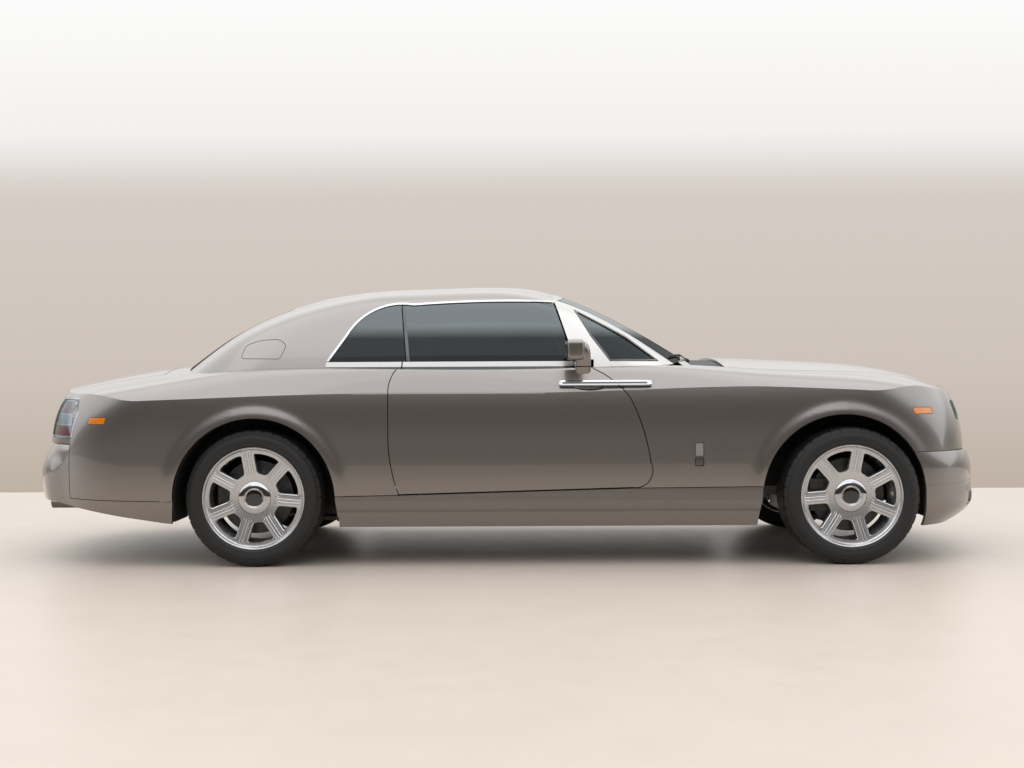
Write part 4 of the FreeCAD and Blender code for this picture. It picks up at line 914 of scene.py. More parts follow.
disc_profile = [(0.0, 35.5), (78, 35.5), (83, 33.5), (85, 29), (86, 13), (92, 11.2), (118, 10.8), (120, 9.8),
                (202, 9.8), (205, 8), (205, -1.5), (190, -2.5), (190, -9.5), (205, -10.5), (205, -20), (202, -22),
                (120, -22), (60, -20), (60, 18), (0.0, 20)]

# Silver wheel lacquer on cast and machined aluminium, clear-coated: bright, with flakes drawn at 0.4 mm.
silver, tree, shader, place = material("wheel", "#c3c3c4", 0.26, 0.85, Coat_Weight=0.8, Coat_Roughness=0.04)
flakes = node(tree, "ShaderNodeTexNoise", {"Vector": place, "Scale": 1000 / 0.417, "Detail": 1.0})
node(tree, "ShaderNodeMix", {"Factor": flakes, "A": linear("#b4b4b6"), "B": linear("#d2d2d2")}, "Result",
     shader["Base Color"], data_type="RGBA")


def node_tree(name, **sizes):
    """Geometry Nodes tree with named inputs for its sizes; gives it and the outputs of its input node."""
    tree = bpy.data.node_groups.new(name, "GeometryNodeTree")
    tree.interface.new_socket("Geometry", in_out="OUTPUT", socket_type="NodeSocketGeometry")
    tree.interface.new_socket("Geometry", in_out="INPUT", socket_type="NodeSocketGeometry")
    for key, value in sizes.items():
        kind = "NodeSocketInt" if isinstance(value, int) else "NodeSocketFloat"
        tree.interface.new_socket(key, in_out="INPUT", socket_type=kind).default_value = value
    return tree, node(tree, "NodeGroupInput").node.outputs


wheel_tree, given = node_tree("spokes_round", Spokes=7, Turn=1.0)
# copies of one sector about the axle, joined where they meet, in silver lacquer
centres = node(wheel_tree, "GeometryNodeMeshLine", {"Count": given["Spokes"], "Offset": (0.0, 0.0, 0.0)})
angle = node(wheel_tree, "ShaderNodeMath", {0: node(wheel_tree, "GeometryNodeInputIndex"), 1: given["Turn"]},
             operation="MULTIPLY")
sectors = node(wheel_tree, "GeometryNodeInstanceOnPoints", {
    "Points": centres, "Instance": given["Geometry"],
    "Rotation": node(wheel_tree, "ShaderNodeCombineXYZ", {"Y": angle})})
whole = node(wheel_tree, "GeometryNodeMergeByDistance", {
    "Geometry": node(wheel_tree, "GeometryNodeRealizeInstances", {"Geometry": sectors}), "Distance": 0.0001})
node(wheel_tree, "NodeGroupOutput", {"Geometry": node(wheel_tree, "GeometryNodeSetMaterial",
                                                      {"Geometry": whole, "Material": silver})})

# Chromium plate on zinc or steel, polished like a mirror, with the faint 110 mm waves of the metal under it.
chrome, tree, shader, place = material("chrome", "#bfbfc0", 0.06, 1.0)
waves = node(tree, "ShaderNodeTexNoise", {"Vector": place, "Scale": 1000 / 111})
node(tree, "ShaderNodeBump", {"Height": waves, "Strength": 0.05, "Distance": 0.002}, to=shader["Normal"])

# Gloss black ABS, moulded in a polished mould: a deep mirror with slight 17 mm unevenness.
gloss, tree, shader, place = material("gloss_black", "#08080a", 0.12, 0.0, Coat_Weight=1.0, Coat_Roughness=0.02)
patches = node(tree, "ShaderNodeTexNoise", {"Vector": place, "Scale": 1000 / 16.7})
node(tree, "ShaderNodeMapRange", {"Value": patches, "To Min": 0.1, "To Max": 0.16}, to=shader["Roughness"])

# Grey cast iron of brake discs and steering parts, turned and a little burnt, in patches 18 mm wide.
iron, tree, shader, place = material("iron", "#3a3a3b", 0.42, 0.9)
patches = node(tree, "ShaderNodeTexNoise", {"Vector": place, "Scale": 1000 / 18.2, "Detail": 5.0})
node(tree, "ShaderNodeMix", {"Factor": patches, "A": linear("#2a2a2b"), "B": linear("#5a5958")}, "Result",
     shader["Base Color"], data_type="RGBA")


def turned(name, profile, steps):
    """Ring turned about the wheel's axis from (radius, across) points, with an end at the axis if there is one."""
    count, points, faces = len(profile), [], []
    for i in range(steps):
        a = 2 * math.pi * i / steps
        points += [(r * math.cos(a), y, r * math.sin(a)) for r, y in profile]
        j = (i + 1) % steps
        faces += [(i * count + k, i * count + (k + 1) % count, j * count + (k + 1) % count, j * count + k)
                  for k in range(count)]
    return mesh_piece(name, points, faces)


def merged(piece, distance=0.00002):
    """Points that meet become one, and faces look outwards."""
    bm = bmesh.new()
    bm.from_mesh(piece.data)
    bmesh.ops.remove_doubles(bm, verts=bm.verts, dist=distance)
    bmesh.ops.recalc_face_normals(bm, faces=bm.faces)
    bm.to_mesh(piece.data)
    bm.free()
    return piece


def spoke_sector():
    """A seventh of the wheel's face: a grooved spoke with half a window on each side, with round corners and edges."""
    full, inner, outer = math.pi / 7, 137.0, 249.0
    near = [inner + 20.0 * (k / 9) ** 2.5 for k in range(10)]
    far = [outer - 15.0 * (k / 9) ** 2.5 for k in range(9, -1, -1)]
    radii = [90.5, 96, 104, 112, 120, 128, 133] + near + list(np.linspace(165, 226, 9)) + far + [253, 258, 263, 267]
    lines = [0.0, 3.0, 5.0, 6.6, 8.0, 9.4, 11.0, 15.0, 18.4, 20.0, 21.4, 23.0, 26.0, 29.0]
    lines = [-d for d in lines[:0:-1]] + lines
    edge_steps = [0.25, 0.45, 0.62, 0.76, 0.88, 0.96, 1.0]
    columns = [(-29.0, -t) for t in edge_steps[::-1]] + [(d, 0.0) for d in lines] + [(29.0, t) for t in edge_steps]
    top, bottom = [], []
    for r in radii:
        spoke = 36.5 / r
        wide = full
        if inner < r < outer:
            a = min(1.0, (r - inner) / 20.0)
            b = min(1.0, (outer - r) / 15.0)
            wide = full - (full - spoke) * min((1 - (1 - a) ** 3) ** (1 / 3), (1 - (1 - b) ** 4) ** 0.25)
        base = float(np.interp(r, [88, 110, 137, 200, 243, 262, 267], [80, 82, 85, 92.5, 98, 100, 100]))
        back = float(np.interp(r, [88, 243, 267], [36, 62, 74]))
        groove_depth = 2.6 * min(1.0, max(0.0, (r - 116.0) / 22.0)) * min(1.0, max(0.0, (266.0 - r) / 10.0))
        for d, t in columns:
            start = d / r
            a = start + (math.copysign(wide, t) - start) * abs(t) if t else start
            y = base
            for at in (-20.7, -8.0, 8.0, 20.7):
                y -= groove_depth * max(0.0, 1.0 - abs(d - at) / 2.2) if not t else 0.0
            y += 1.6 * (1 - min(1.0, (a * r / 34.0) ** 2)) * min(1.0, max(0.0, (r - 110.0) / 40.0))
            edge = (wide - abs(a)) * r
            if wide < full - 1e-6 and edge < 7.0:
                y -= 7.0 * (1 - math.sqrt(max(0.0, 1 - (1 - edge / 7.0) ** 2)))
            top.append((r * math.cos(a), y, r * math.sin(a)))
            bottom.append((r * math.cos(a), back, r * math.sin(a)))
    n, m = len(radii), len(columns)
    size = n * m
    faces = []
    for i in range(n - 1):
        for j in range(m - 1):
            k = i * m + j
            faces.append((k, k + 1, k + m + 1, k + m))
            faces.append((k + size, k + size + m, k + size + m + 1, k + size + 1))
        if inner < radii[i] < outer or inner < radii[i + 1] < outer:
            faces += [(k, k + m, k + size + m, k + size) for k in (i * m, i * m + m - 1)]
    for i in (0, n - 1):
        faces += [(k, k + 1, k + size + 1, k + size) for k in range(i * m, i * m + m - 1)]
    return mesh_piece("spokes", top + bottom, faces)


def repeated(piece, tree, **sizes):
    """A piece run through a node tree that repeats it, as a plain mesh."""
    modifier = piece.modifiers.new("repeat", "NODES")
    modifier.node_group = tree
    for item in tree.interface.items_tree:
        if item.name in sizes:
            modifier[item.identifier] = sizes[item.name]
    return bake(piece)


spoke_ring = merged(repeated(spoke_sector(), wheel_tree, Spokes=7, Turn=2 * math.pi / 7), 0.0001)
spokes = join("spokes", [wear(spoke_ring, silver), wear(merged(turned("rim", rim_profile, 150)), silver),
                         wear(merged(turned("cap", cap_profile, 120)), chrome),
                         wear(merged(turned("cap_disc", badge_profile, 96)), gloss),
                         wear(merged(turned("disc", disc_profile, 160)), iron)])
wheel_turns = {"front_left": 80.8, "front_right": 80.8, "rear_left": 98.7, "rear_right": 98.7}

hub_height = 382.0


def on_axles(source, name, node_name):
    """Copies of a left piece at the four wheels, turned as they stand in the photograph."""
    for corner, turn_by in wheel_turns.items():
        x = axles[corner.split("_")[0]]
        y = (843.5 if "front" in corner else 835.5) * (1 if "left" in corner else -1)
        one = copy_of(source, name + corner)
        one.data.transform(Matrix.Rotation(math.radians(-turn_by), 4, "Y"))
        if y < 0:
            one.data.transform(Matrix.Scale(-1, 4, Vector((0, 1, 0))))
            one.data.flip_normals()
        one.data.transform(Matrix.Translation(Vector((x, y, hub_height)) * 0.001))
        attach(one, "wheel_" + corner)
        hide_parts(node_name + corner)
    remove(source)


on_axles(finish_edges(spokes, 28.0), "wheel_face_", "wheel_")

# Tyres: steel-belted rubber, moulded with four grooves round the tread and sipes across its ribs, and held on the rim
# by their beads. Each line is (radius, across, pattern), where pattern 1 has shoulder sipes and 2 has rib sipes.
tread = [(285.5, 110, 0), (285.5, 114, 0), (289, 117.5, 0), (293, 120.5, 0), (296, 122.6, 0), (299, 123.4, 0),
         (302, 122.8, 0), (305, 123.0, 0), (315, 126.2, 0), (329, 127.5, 0), (340, 125.8, 0), (347, 122.6, 0),
         (349, 123.2, 0), (352, 121.8, 0), (354, 118.6, 0), (358, 115.2, 0), (363, 112.6, 1), (369, 109.4, 1),
         (374, 106.0, 1), (377.2, 102.0, 1), (379.2, 96.0, 1), (380.4, 84.0, 1), (381.2, 66.0, 1), (381.0, 63.0, 1),
         (373.5, 61.5, 0), (373.5, 55.5, 0), (381.4, 54.0, 2), (381.7, 40.0, 2), (381.8, 28.0, 2), (373.5, 26.5, 0),
         (373.5, 18.5, 0), (381.9, 17.0, 0), (382.0, 0.0, 0)]
tread = tread + [(r, -y, kind) for r, y, kind in tread[-2::-1]]

# Tyre rubber filled with carbon black, vulcanised in a mould: nearly black with a dry sheen. Its moulding grain is
# drawn at 3 mm, coarser than it is, to show.
rubber, tree, shader, place = material("tyre", "#141414", 0.62, 0.0)
grain = node(tree, "ShaderNodeTexNoise", {"Vector": place, "Scale": 1000 / 2.94, "Detail": 4.0})
node(tree, "ShaderNodeMix", {"Factor": grain, "A": linear("#0f0f0f"), "B": linear("#1d1c1b")}, "Result",
     shader["Base Color"], data_type="RGBA")
node(tree, "ShaderNodeBump", {"Height": grain, "Strength": 0.25, "Distance": 0.0006}, to=shader["Normal"])


def tyre_mesh():
    """Ring turned from the tread's lines, let in at the sipes."""
    phases = [0.0, 0.02, 0.11, 0.13, 0.5, 0.515, 0.575, 0.59]
    points, faces, count = [], [], len(tread)
    blocks = 40
    steps = blocks * len(phases)
    for i in range(steps):
        a = 2 * math.pi * (i // 8 + phases[i % 8]) / blocks
        for r, y, kind in tread:
            low = 4.5 if kind == 1 and i % 8 in (1, 2) else 4.0 if kind == 2 and i % 8 in (5, 6) else 0.0
            slant = 0.010 * y / 100.0 if y > 0 else -0.010 * y / 100.0
            points.append(((r - low) * math.cos(a + slant), y, (r - low) * math.sin(a + slant)))
        j = (i + 1) % steps
        faces += [(i * count + k, i * count + (k + 1) % count, j * count + (k + 1) % count, j * count + k)
                  for k in range(count)]
    return fix_normals(mesh_piece("tyre", points, faces))


on_axles(finish_edges(wear(tyre_mesh(), rubber), 24.0), "tyre_tread_", "tyre_")

# Door handles: a cast zinc blade, chromium plated, with a long dark groove. It stands off the skin on two feet and is
# bolted through the door from inside.


def leaning(x, z):
    """Place on the leaning side above the crease, its outward and its upward direction."""
    crease_z, crease_y, lean = (float(top_curves[i](x)) for i in (2, 3, 4))
    a = math.radians(lean)
    spot = np.array([x, crease_y - (z - crease_z) * math.tan(a), z])
    return spot, np.array([0.0, math.cos(a), math.sin(a)]), np.array([0.0, -math.sin(a), math.cos(a)])


def soft_box(x0, x1, y0, y1, z0, z1, radius, segments=4):
    """Block with rounded edges."""
    piece = box(x0, x1, y0, y1, z0, z1)
    bm = bmesh.new()
    bm.from_mesh(piece.data)
    bmesh.ops.bevel(bm, geom=bm.edges[:], offset=radius * 0.001, segments=segments, profile=0.5, affect="EDGES")
    bm.to_mesh(piece.data)
    bm.free()
    return piece


blade_section = [(-14, 7), (-17, 9), (-18, 12), (-18, 18), (-16.5, 21.5), (-13.5, 23), (-6, 23), (-4.5, 20), (4.5, 20),
                 (6, 23), (13.5, 23), (16.5, 21.5), (18, 18), (18, 12), (17, 9), (14, 7)]
blade_stations = [(299, 0.5), (301, 0.72), (305, 0.88), (312, 0.97), (322, 1), (420, 1), (520, 1), (627, 1),
                  (628, 0.86), (632, 0.86), (633, 1), (700, 1), (770, 0.97), (796, 0.9), (806, 0.78), (810, 0.64),
(812, 0.45)]
rings = []
for x, size in blade_stations:
    spot, out, up = leaning(x, 1006.0)
    rings.append([tuple(spot + up * t * size + out * (15 + (n - 15) * size)) for t, n in blade_section])
blade = ring_solid("handle", rings)
groove_section = ((-5.4, 18.5), (-5.4, 21.6), (5.4, 21.6), (5.4, 18.5))
rings = []
for x, size in [(318, 0.6), (324, 1), (470, 1), (626, 1), (634, 1), (760, 1), (786, 0.5)]:
    spot, out, up = leaning(x, 1006.0)
    rings.append([tuple(spot + up * t * size + out * n) for t, n in groove_section])
blade_groove = wear(ring_solid("groove", rings), gloss)
feet = [soft_box(x0, x0 + 40, 936, 962, 1001, 1024, 4) for x0 in (325, 540)]
both(join("door_blade", [wear(p, chrome) for p in [blade] + feet] + [blade_groove]), "door_blade", None, "door_",
     "door_handle_", angle=30)

# Door mirrors: a moulded and painted housing on an elbow that is bolted to the door's front corner, with a dark
# folding joint and its silvered glass in a black rim at the back.
head = soft_box(337, 437, 927, 1084, 1140, 1257, 27, 7)
elbow_levels = [(1058, 392, 472, 882, 922), (1075, 390, 476, 884, 927), (1100, 390, 477, 887, 936),
                (1140, 392, 477, 893, 954), (1185, 396, 475, 900, 966), (1215, 400, 468, 906, 964),
                (1234, 408, 458, 914, 958), (1243, 420, 446, 924, 950)]
elbow = ring_solid("elbow", [[(x, y, z) for x, y in round_rect(x0, x1, y0, y1, 0.46 * min(x1 - x0, y1 - y0))]
                             for z, x0, x1, y0, y1 in elbow_levels])
collar = ring_solid("collar", [[(x, y, z) for x, y in round_rect(390, 478, 886, 940, 22)] for z in (1103, 1109)])
mirror_rim = front_prism(round_rect(938, 1074, 1150, 1247, 22), 335.0, 341.0)
mirror_glass = front_prism(round_rect(944, 1068, 1156, 1241, 17), 333.6, 336.0)
mirror_parts = [wear(head, paint), wear(elbow, paint), wear(collar, black), wear(mirror_rim, black),
                wear(mirror_glass, chrome)]
both(join("mirror_shell", mirror_parts), "mirror_shell", None, "door_", "mirror_", angle=35, slot="paint")

# Bright strips: rolled and plated rail over the side windows, brushed waist strips under them with a dark wiper lip,
# and black rubber at the rear edge of the door glass and round the quarterlights. All are clipped to the body's edges.
rail_shell = cut(cabin(-3.0), cabin(4.0, 200, 140))
rail = meet(copy_of(rail_shell, "rail"), side_prism(offset(window_points, 13.0)))
cut(rail, side_prism(offset(window_points, 1.5), -5, 1305), box(-1100, 600, 0, 1300, 900, 1142),
    box(281, 600, 0, 1300, 900, 1700))
both(rail, "window_rail", chrome, "body")
waist_shell = cut(cabin(-4.0), cabin(1.0, 200, 140), copy_of(solid, "s"))
for points, name, body in (([(-579, 1080), (-574, 1137), (381, 1137), (381, 1080)], "waist_strip", "door_"),
                           ([(-1012, 1080), (-1006, 1137), (-581, 1137), (-586, 1080)], "waist_strip_rear", "body")):
    strip = meet(copy_of(waist_shell, "waist"), side_prism(points))
    lip = meet(copy_of(strip, "line"), box(-1100, 500, 0, 1300, 1000, 1108))
    cut(strip, box(-1100, 500, 0, 1300, 1000, 1108.5))
    both(join(name, [wear(strip, satin), wear(lip, gloss)]), name, None, body)
remove(waist_shell)
divider = meet(copy_of(rail_shell, "divider"), side_prism([(-553, 1138), (-590, 1452), (-573, 1456), (-536, 1138)]))
both(divider, "glass_divider", gloss, "door_")
seal = meet(rail_shell, side_prism(offset(quarter_points, 4.0)))
cut(seal, side_prism(offset(quarter_points, -6.0), -5, 1305), cabin(-1.0, 200, 140))
both(seal, "quarterlight_seal", gloss, "body")

# Blank badge plate with a plated rim, and under it a small side lamp in a black seal, behind each front wheel. Both
# are let into the wing from outside and held by clips.

# Clear polycarbonate of the lamp covers, moulded and hard-coated: almost colourless, with a soft mirror on it.
clear = pane("lamp_clear", "#e4e8ea", "#f0f3f4", 1.3, 0.25)

plate_shell = cut(walls(body_levels, -3.0), walls(body_levels, 3.0))
badge = meet(copy_of(plate_shell, "badge"), side_prism(round_rect(1044, 1097, 605, 685, 6)))
inner = side_prism(round_rect(1050, 1091, 611, 679, 4))
field = meet(meet(walls(body_levels, -1.5), box(1000, 1140, 900, 1100, 590, 700)), copy_of(inner, "i"))
cut(badge, inner)
both(join("badge_plate", [wear(badge, chrome), wear(field, satin)]), "badge_plate", None, "body")
side_lamp = meet(copy_of(plate_shell, "lamp"), side_prism(round_rect(1050, 1091, 558, 594, 6)))
both(side_lamp, "side_lamp", clear, "body")
lamp_seal = meet(plate_shell, side_prism(round_rect(1045, 1096, 553, 599, 8)))
both(cut(lamp_seal, walls(body_levels, -1.0), side_prism(round_rect(1050, 1091, 558, 594, 6), -5, 1305)),
     "side_lamp_rim", black, "body")

# Side markers: amber acrylic lenses in shallow pockets of wing and quarter, each with a black rubber seal round it,
# held by clips from behind.

# Amber acrylic of the side markers, moulded with optics 4.5 mm wide, whose glints are painted on.
amber, tree, shader, place = material("lamp_amber", "#d97a0e", 0.10, 0.0, Coat_Weight=1.0, Coat_Roughness=0.02)
# Painted glints: each optic cell runs from darker to lighter amber.
painted_optic_glints = node(tree, "ShaderNodeTexVoronoi", {"Vector": place, "Scale": 1000 / 4.55})
node(tree, "ShaderNodeMix", {"Factor": painted_optic_glints, "A": linear("#a94f06"), "B": linear("#f0941c")}, "Result",
     shader["Base Color"], data_type="RGBA")

marker_skin = cut(copy_of(solid, "markers"), walls(body_levels, 8.0))
markers = []
for points in marker_points:
    lens_part = meet(copy_of(marker_skin, "lens"), side_prism(offset(points, -3.0)))
    rim_part = cut(meet(copy_of(marker_skin, "rim"), side_prism(offset(points, -0.6))),
                   side_prism(offset(points, -2.8), -5, 1305))
    markers += [wear(lens_part, amber), wear(rim_part, black)]
remove(marker_skin)
both(join("marker", markers), "marker", None, "body", "side_markers", slot="lamp_amber")

# Headlamps: a clear cover over a black housing with two projector units in plated rings, bolted to the front
# structure.
lens_skin = cut(copy_of(solid, "lens"), walls(body_levels, 5.0))
depth = cut(walls(body_levels, 9.0), walls(body_levels, 100.0))
head_lens = meet(copy_of(lens_skin, "head"), front_prism(offset(head_outline, -1.5), 2250, 3100))
head_house = meet(copy_of(depth, "house"), front_prism(offset(head_outline, -1.5), 2250, 3100))


def barrel(name, profile, centre, axis, steps=64):
    """Turned form: (radius, along) points about an axis through a centre in millimetres."""
    piece = merged(turned(name, profile, steps))
    spin = Vector((0, 1, 0)).rotation_difference(Vector(axis).normalized()).to_matrix().to_4x4()
    piece.data.transform(Matrix.Translation(Vector(centre) * 0.001) @ spin)
    return piece


def nose_place(y, z):
    """Where the nose is, seen from above."""
    nose, tail, half = (float(spline(body_levels, c)(z)) for c in (1, 2, 3))
    p = outline(nose, tail, half)
    p = p[p[:, 0] > 1000]
    return float(np.interp(y, p[:, 1], p[:, 0]))


units = []
for y in (506.0, 622.0):
    spot = (nose_place(y + 27, 848.0) - 34, y, 848)
    cut(head_house, barrel("way", [(0, -60), (45, -60), (47, 90), (0, 90)], spot, (1, 0, 0)))
    for profile, look in (([(37, -28), (44, 8), (42, 10), (33, -26)], chrome),
                          ([(0, 2), (14, 0), (26, -6), (36, -18), (38, -34), (0, -34)], gloss),
                          ([(30, -8), (34, -6), (37, -12), (34, -14)], silver)):
        units.append(wear(barrel("unit", profile, spot, (1, 0, 0)), look))
bar = meet(copy_of(depth, "bar"), front_prism(round_rect(460, 676, 797, 803, 2.5), 2250, 3100))
units = [wear(head_house, black), wear(bar, satin)] + units
both(join("headlamp_unit", units), "headlamp_unit", None, "body", angle=30)
both(head_lens, "headlamp_cover", clear, "body", "headlamps", slot="lamp_clear")

# Tail lamps: a clear cover with a plated rim over a white reflector with red and clear blocks in it, bolted to the
# rear quarter.

# Aluminised lamp reflector moulded in white plastic, facets 7 mm wide: the light they break up is painted reflection.
reflector, tree, shader, place = material("lamp_reflector", "#e4e2e1", 0.25, 0.0, Coat_Weight=1.0, Coat_Roughness=0.03)
# Painted reflection: the facets run from darker to lighter white.
painted_facet_reflection = node(tree, "ShaderNodeTexVoronoi", {"Vector": place, "Scale": 1000 / 7.1})
node(tree, "ShaderNodeMix", {"Factor": painted_facet_reflection, "A": linear("#cfccca"), "B": linear("#f1f0ef")}, "Result",
     shader["Base Color"], data_type="RGBA")

# Red acrylic of the tail lamps, moulded with 6 mm optics inside, their deep, uneven look painted as glints and shade.
red, tree, shader, place = material("lamp_red", "#8c1013", 0.08, 0.0, Coat_Weight=1.0, Coat_Roughness=0.02)
# Painted glints and shade: each optic cell runs from dark to bright red.
painted_optic_glints = node(tree, "ShaderNodeTexVoronoi", {"Vector": place, "Scale": 1000 / 6.25})
node(tree, "ShaderNodeMix", {"Factor": painted_optic_glints, "A": linear("#5a0508"), "B": linear("#b3181a")}, "Result",
     shader["Base Color"], data_type="RGBA")

tail_lens = meet(copy_of(lens_skin, "tail"), front_prism(offset(tail_outline, -5.0), -3100, -2400))
tail_rim = cut(meet(lens_skin, front_prism(offset(tail_outline, -0.8), -3100, -2400)),
               front_prism(offset(tail_outline, -4.6), -3105, -2395))
tail_house = meet(depth, front_prism(offset(tail_outline, -1.5), -3100, -2400))
blocks = cut(walls(body_levels, 7.0), walls(body_levels, 15.0))
inner_red = [wear(meet(copy_of(blocks, "red"), front_prism(round_rect(*place, 12), -3100, -2400)), red)
             for place in ((664, 846, 856, 922), (664, 850, 730, 786))]
inner_clear = wear(meet(blocks, front_prism(round_rect(664, 848, 794, 848, 12), -3100, -2400)), clear)
tail_parts = [wear(tail_lens, clear), wear(tail_rim, chrome), wear(tail_house, reflector), inner_clear] + inner_red
both(join("tail_lamp", tail_parts), "tail_lamp", None, "body", "tail_lamps", angle=30, slot="lamp_red")

# Grille: a plated frame that leans with the nose round 21 upright vanes of brushed steel, bolted on before the
# radiator. One vane is made, and a node tree sets the others beside it on the bow of the nose.
grille_nose = cut(meet(walls(body_levels, -3.0), under_top(-2.0)), walls(body_levels, 42.0))
frame_ring = cut(front_prism(round_rect(-345, 345, 628, 994, 12), 2350, 3100),
                 front_prism(round_rect(-322, 322, 654, 925, 10), 2340, 3110))
frame_piece = meet(grille_nose, frame_ring)
header = cut(meet(under_top(-1.0), walls(body_levels, -1.0)), under_top(16.0))
grille_parts = [wear(frame_piece, chrome), wear(meet(header, box(2400, 2720, -345, 345, 870, 993.5)), chrome)]
vane_tree, given = node_tree("vane_row", Vanes=21, Spacing=0.03, Bow=1.8)
# points in a row across the car, set back by the bow's depth at each, with a vane on every one
last = node(vane_tree, "ShaderNodeMath", {0: given["Vanes"], 1: 1.0}, operation="SUBTRACT")
width = node(vane_tree, "ShaderNodeMath", {0: last, 1: given["Spacing"]}, operation="MULTIPLY")
first = node(vane_tree, "ShaderNodeMath", {0: width, 1: -0.5}, operation="MULTIPLY")
row = node(vane_tree, "GeometryNodeMeshLine", {
    "Count": given["Vanes"], "Start Location": node(vane_tree, "ShaderNodeCombineXYZ", {"Y": first}),
    "Offset": node(vane_tree, "ShaderNodeCombineXYZ", {"Y": given["Spacing"]})})
spot = node(vane_tree, "GeometryNodeInputPosition")
out = node(vane_tree, "ShaderNodeSeparateXYZ", {"Vector": spot}, "Y")
out_squared = node(vane_tree, "ShaderNodeMath", {0: out, 1: out}, operation="MULTIPLY")
bow_squared = node(vane_tree, "ShaderNodeMath", {0: given["Bow"], 1: given["Bow"]}, operation="MULTIPLY")
rest = node(vane_tree, "ShaderNodeMath", {0: bow_squared, 1: out_squared}, operation="SUBTRACT")
along_bow = node(vane_tree, "ShaderNodeMath", {0: rest}, operation="SQRT")
set_back = node(vane_tree, "ShaderNodeMath", {0: along_bow, 1: given["Bow"]}, operation="SUBTRACT")
places = node(vane_tree, "GeometryNodeSetPosition", {
    "Geometry": row, "Offset": node(vane_tree, "ShaderNodeCombineXYZ", {"X": set_back})})
vanes = node(vane_tree, "GeometryNodeInstanceOnPoints", {"Points": places, "Instance": given["Geometry"]})
vanes = node(vane_tree, "GeometryNodeRealizeInstances", {"Geometry": vanes})
node(vane_tree, "NodeGroupOutput", {"Geometry": node(vane_tree, "GeometryNodeSetMaterial",
                                                     {"Geometry": vanes, "Material": satin})})
rings = []
for z in np.linspace(650, 930, 15):
    x = nose_place(0, z) - 5
    rings.append([(x - 40, -4, z), (x - 4, -4, z), (x - 1.2, -2.8, z), (x, 0, z), (x - 1.2, 2.8, z), (x - 4, 4, z),
                  (x - 40, 4, z)])
nose_bow = body_form[2] / 1000.0
grille_parts.append(repeated(ring_solid("vane", rings), vane_tree, Vanes=21, Spacing=0.644 / 22, Bow=nose_bow))
back_plate = meet(cut(walls(body_levels, 44.0), walls(body_levels, 50.0)),
                  front_prism(round_rect(-345, 345, 632, 935, 8), 2350, 3100))
grille_parts.append(wear(back_plate, black))
dress(join("grille_vanes", grille_parts), None, "body", "grille", angle=30)

# Lower intakes: a grid of moulded black slats behind the bumper's opening, and a glass fog lamp in a plated ring on
# each side, clipped to the cover from behind.
intake_skin = cut(walls(bumper_levels, 16.0), walls(bumper_levels, 34.0))
bars = [box(2300, 3100, -570, 570, z, z + 7) for z in range(246, 327, 20)]
bars += [box(2300, 3100, y - 4, y + 4, 238, 340) for y in range(-520, 521, 65)]
slats = [wear(meet(copy_of(intake_skin, "slat"), bar), black) for bar in bars]
remove(intake_skin)
for side in (-1, 1):
    spot = (nose_place(646, 340) - 45, side * 646, 340)
    slats.append(wear(barrel("fog", [(0, 6), (22, 4), (30, -2), (31, -24), (0, -24)], spot, (1, 0, 0)), silver))
    ring = barrel("fog_ring", [(32, -20), (32, 8), (35, 11), (37, 8), (37, -20)], spot, (1, 0, 0))
    slats.append(wear(ring, chrome))
dress(join("intake_slats", slats), None, "body", angle=30)

# Number plate, left blank, of brushed metal, and the plated bar with its lamps over it, screwed to the boot lid.
plate_skin = cut(walls(body_levels, -5.0), walls(body_levels, 1.0))
plate_face = meet(copy_of(plate_skin, "plate"), front_prism(round_rect(-258, 258, 732, 842, 6), -3100, -2400))
plate_bar = meet(plate_skin, front_prism(round_rect(-300, 300, 858, 880, 9), -3100, -2400))
dress(join("rear_plate", [wear(plate_face, satin), wear(plate_bar, chrome)]), None, "boot_lid", angle=30)

# Exhaust ends: oval stainless steel tubes, polished, welded to the exhaust and open to the rear.
tips = []
for side in (-1, 1):
    outer = ring_solid("tip", [[(x, side * 430 + y, 344 + z) for y, z in round_rect(-w, w, -h, h, 0.92 * h, 10)]
                               for x, w, h in ((-2560, 48, 27), (-2600, 52, 29), (-2686, 54, 30), (-2691, 52, 28))])
    hole = ring_solid("hole", [[(x, side * 430 + y, 344 + z) for y, z in round_rect(-49, 49, -25.5, 25.5, 23, 10)]
                               for x in (-2750, -2572)])
    tips.append(wear(cut(outer, hole), chrome))
dress(join("exhaust_tips", tips), None, "body", angle=30)

# Wipers at rest on the windscreen's foot: pressed steel arms, painted black, with rubber blades. Each turns on a
# pivot in the cowl.


def screen_place(y, z, out):
    """Place on the windscreen, a distance out from it."""
    x = float(cabin_curves[0](z)) - y * y / window_bow
    return np.array([x + out * 0.55, y, z + out * 0.83])


def rod(name, path, half_wide, half_high):
    """Bar along a path of points, with a flat section."""
    rings = []
    for i, p in enumerate(path):
        ahead = np.array(path[min(i + 1, len(path) - 1)]) - np.array(path[max(i - 1, 0)])
        ahead /= np.linalg.norm(ahead)
        side = np.cross(ahead, [0.55, 0.0, 0.83])
        side /= np.linalg.norm(side)
        up = np.cross(side, ahead)
        w = half_wide * (0.6 if i in (0, len(path) - 1) else 1.0)
        rings.append([tuple(np.array(p) + side * a * w + up * b * half_high)
                      for a, b in ((-1, -1), (1, -1), (1, 0.4), (0.5, 1), (-0.5, 1), (-1, 0.4))])
    return ring_solid(name, rings)


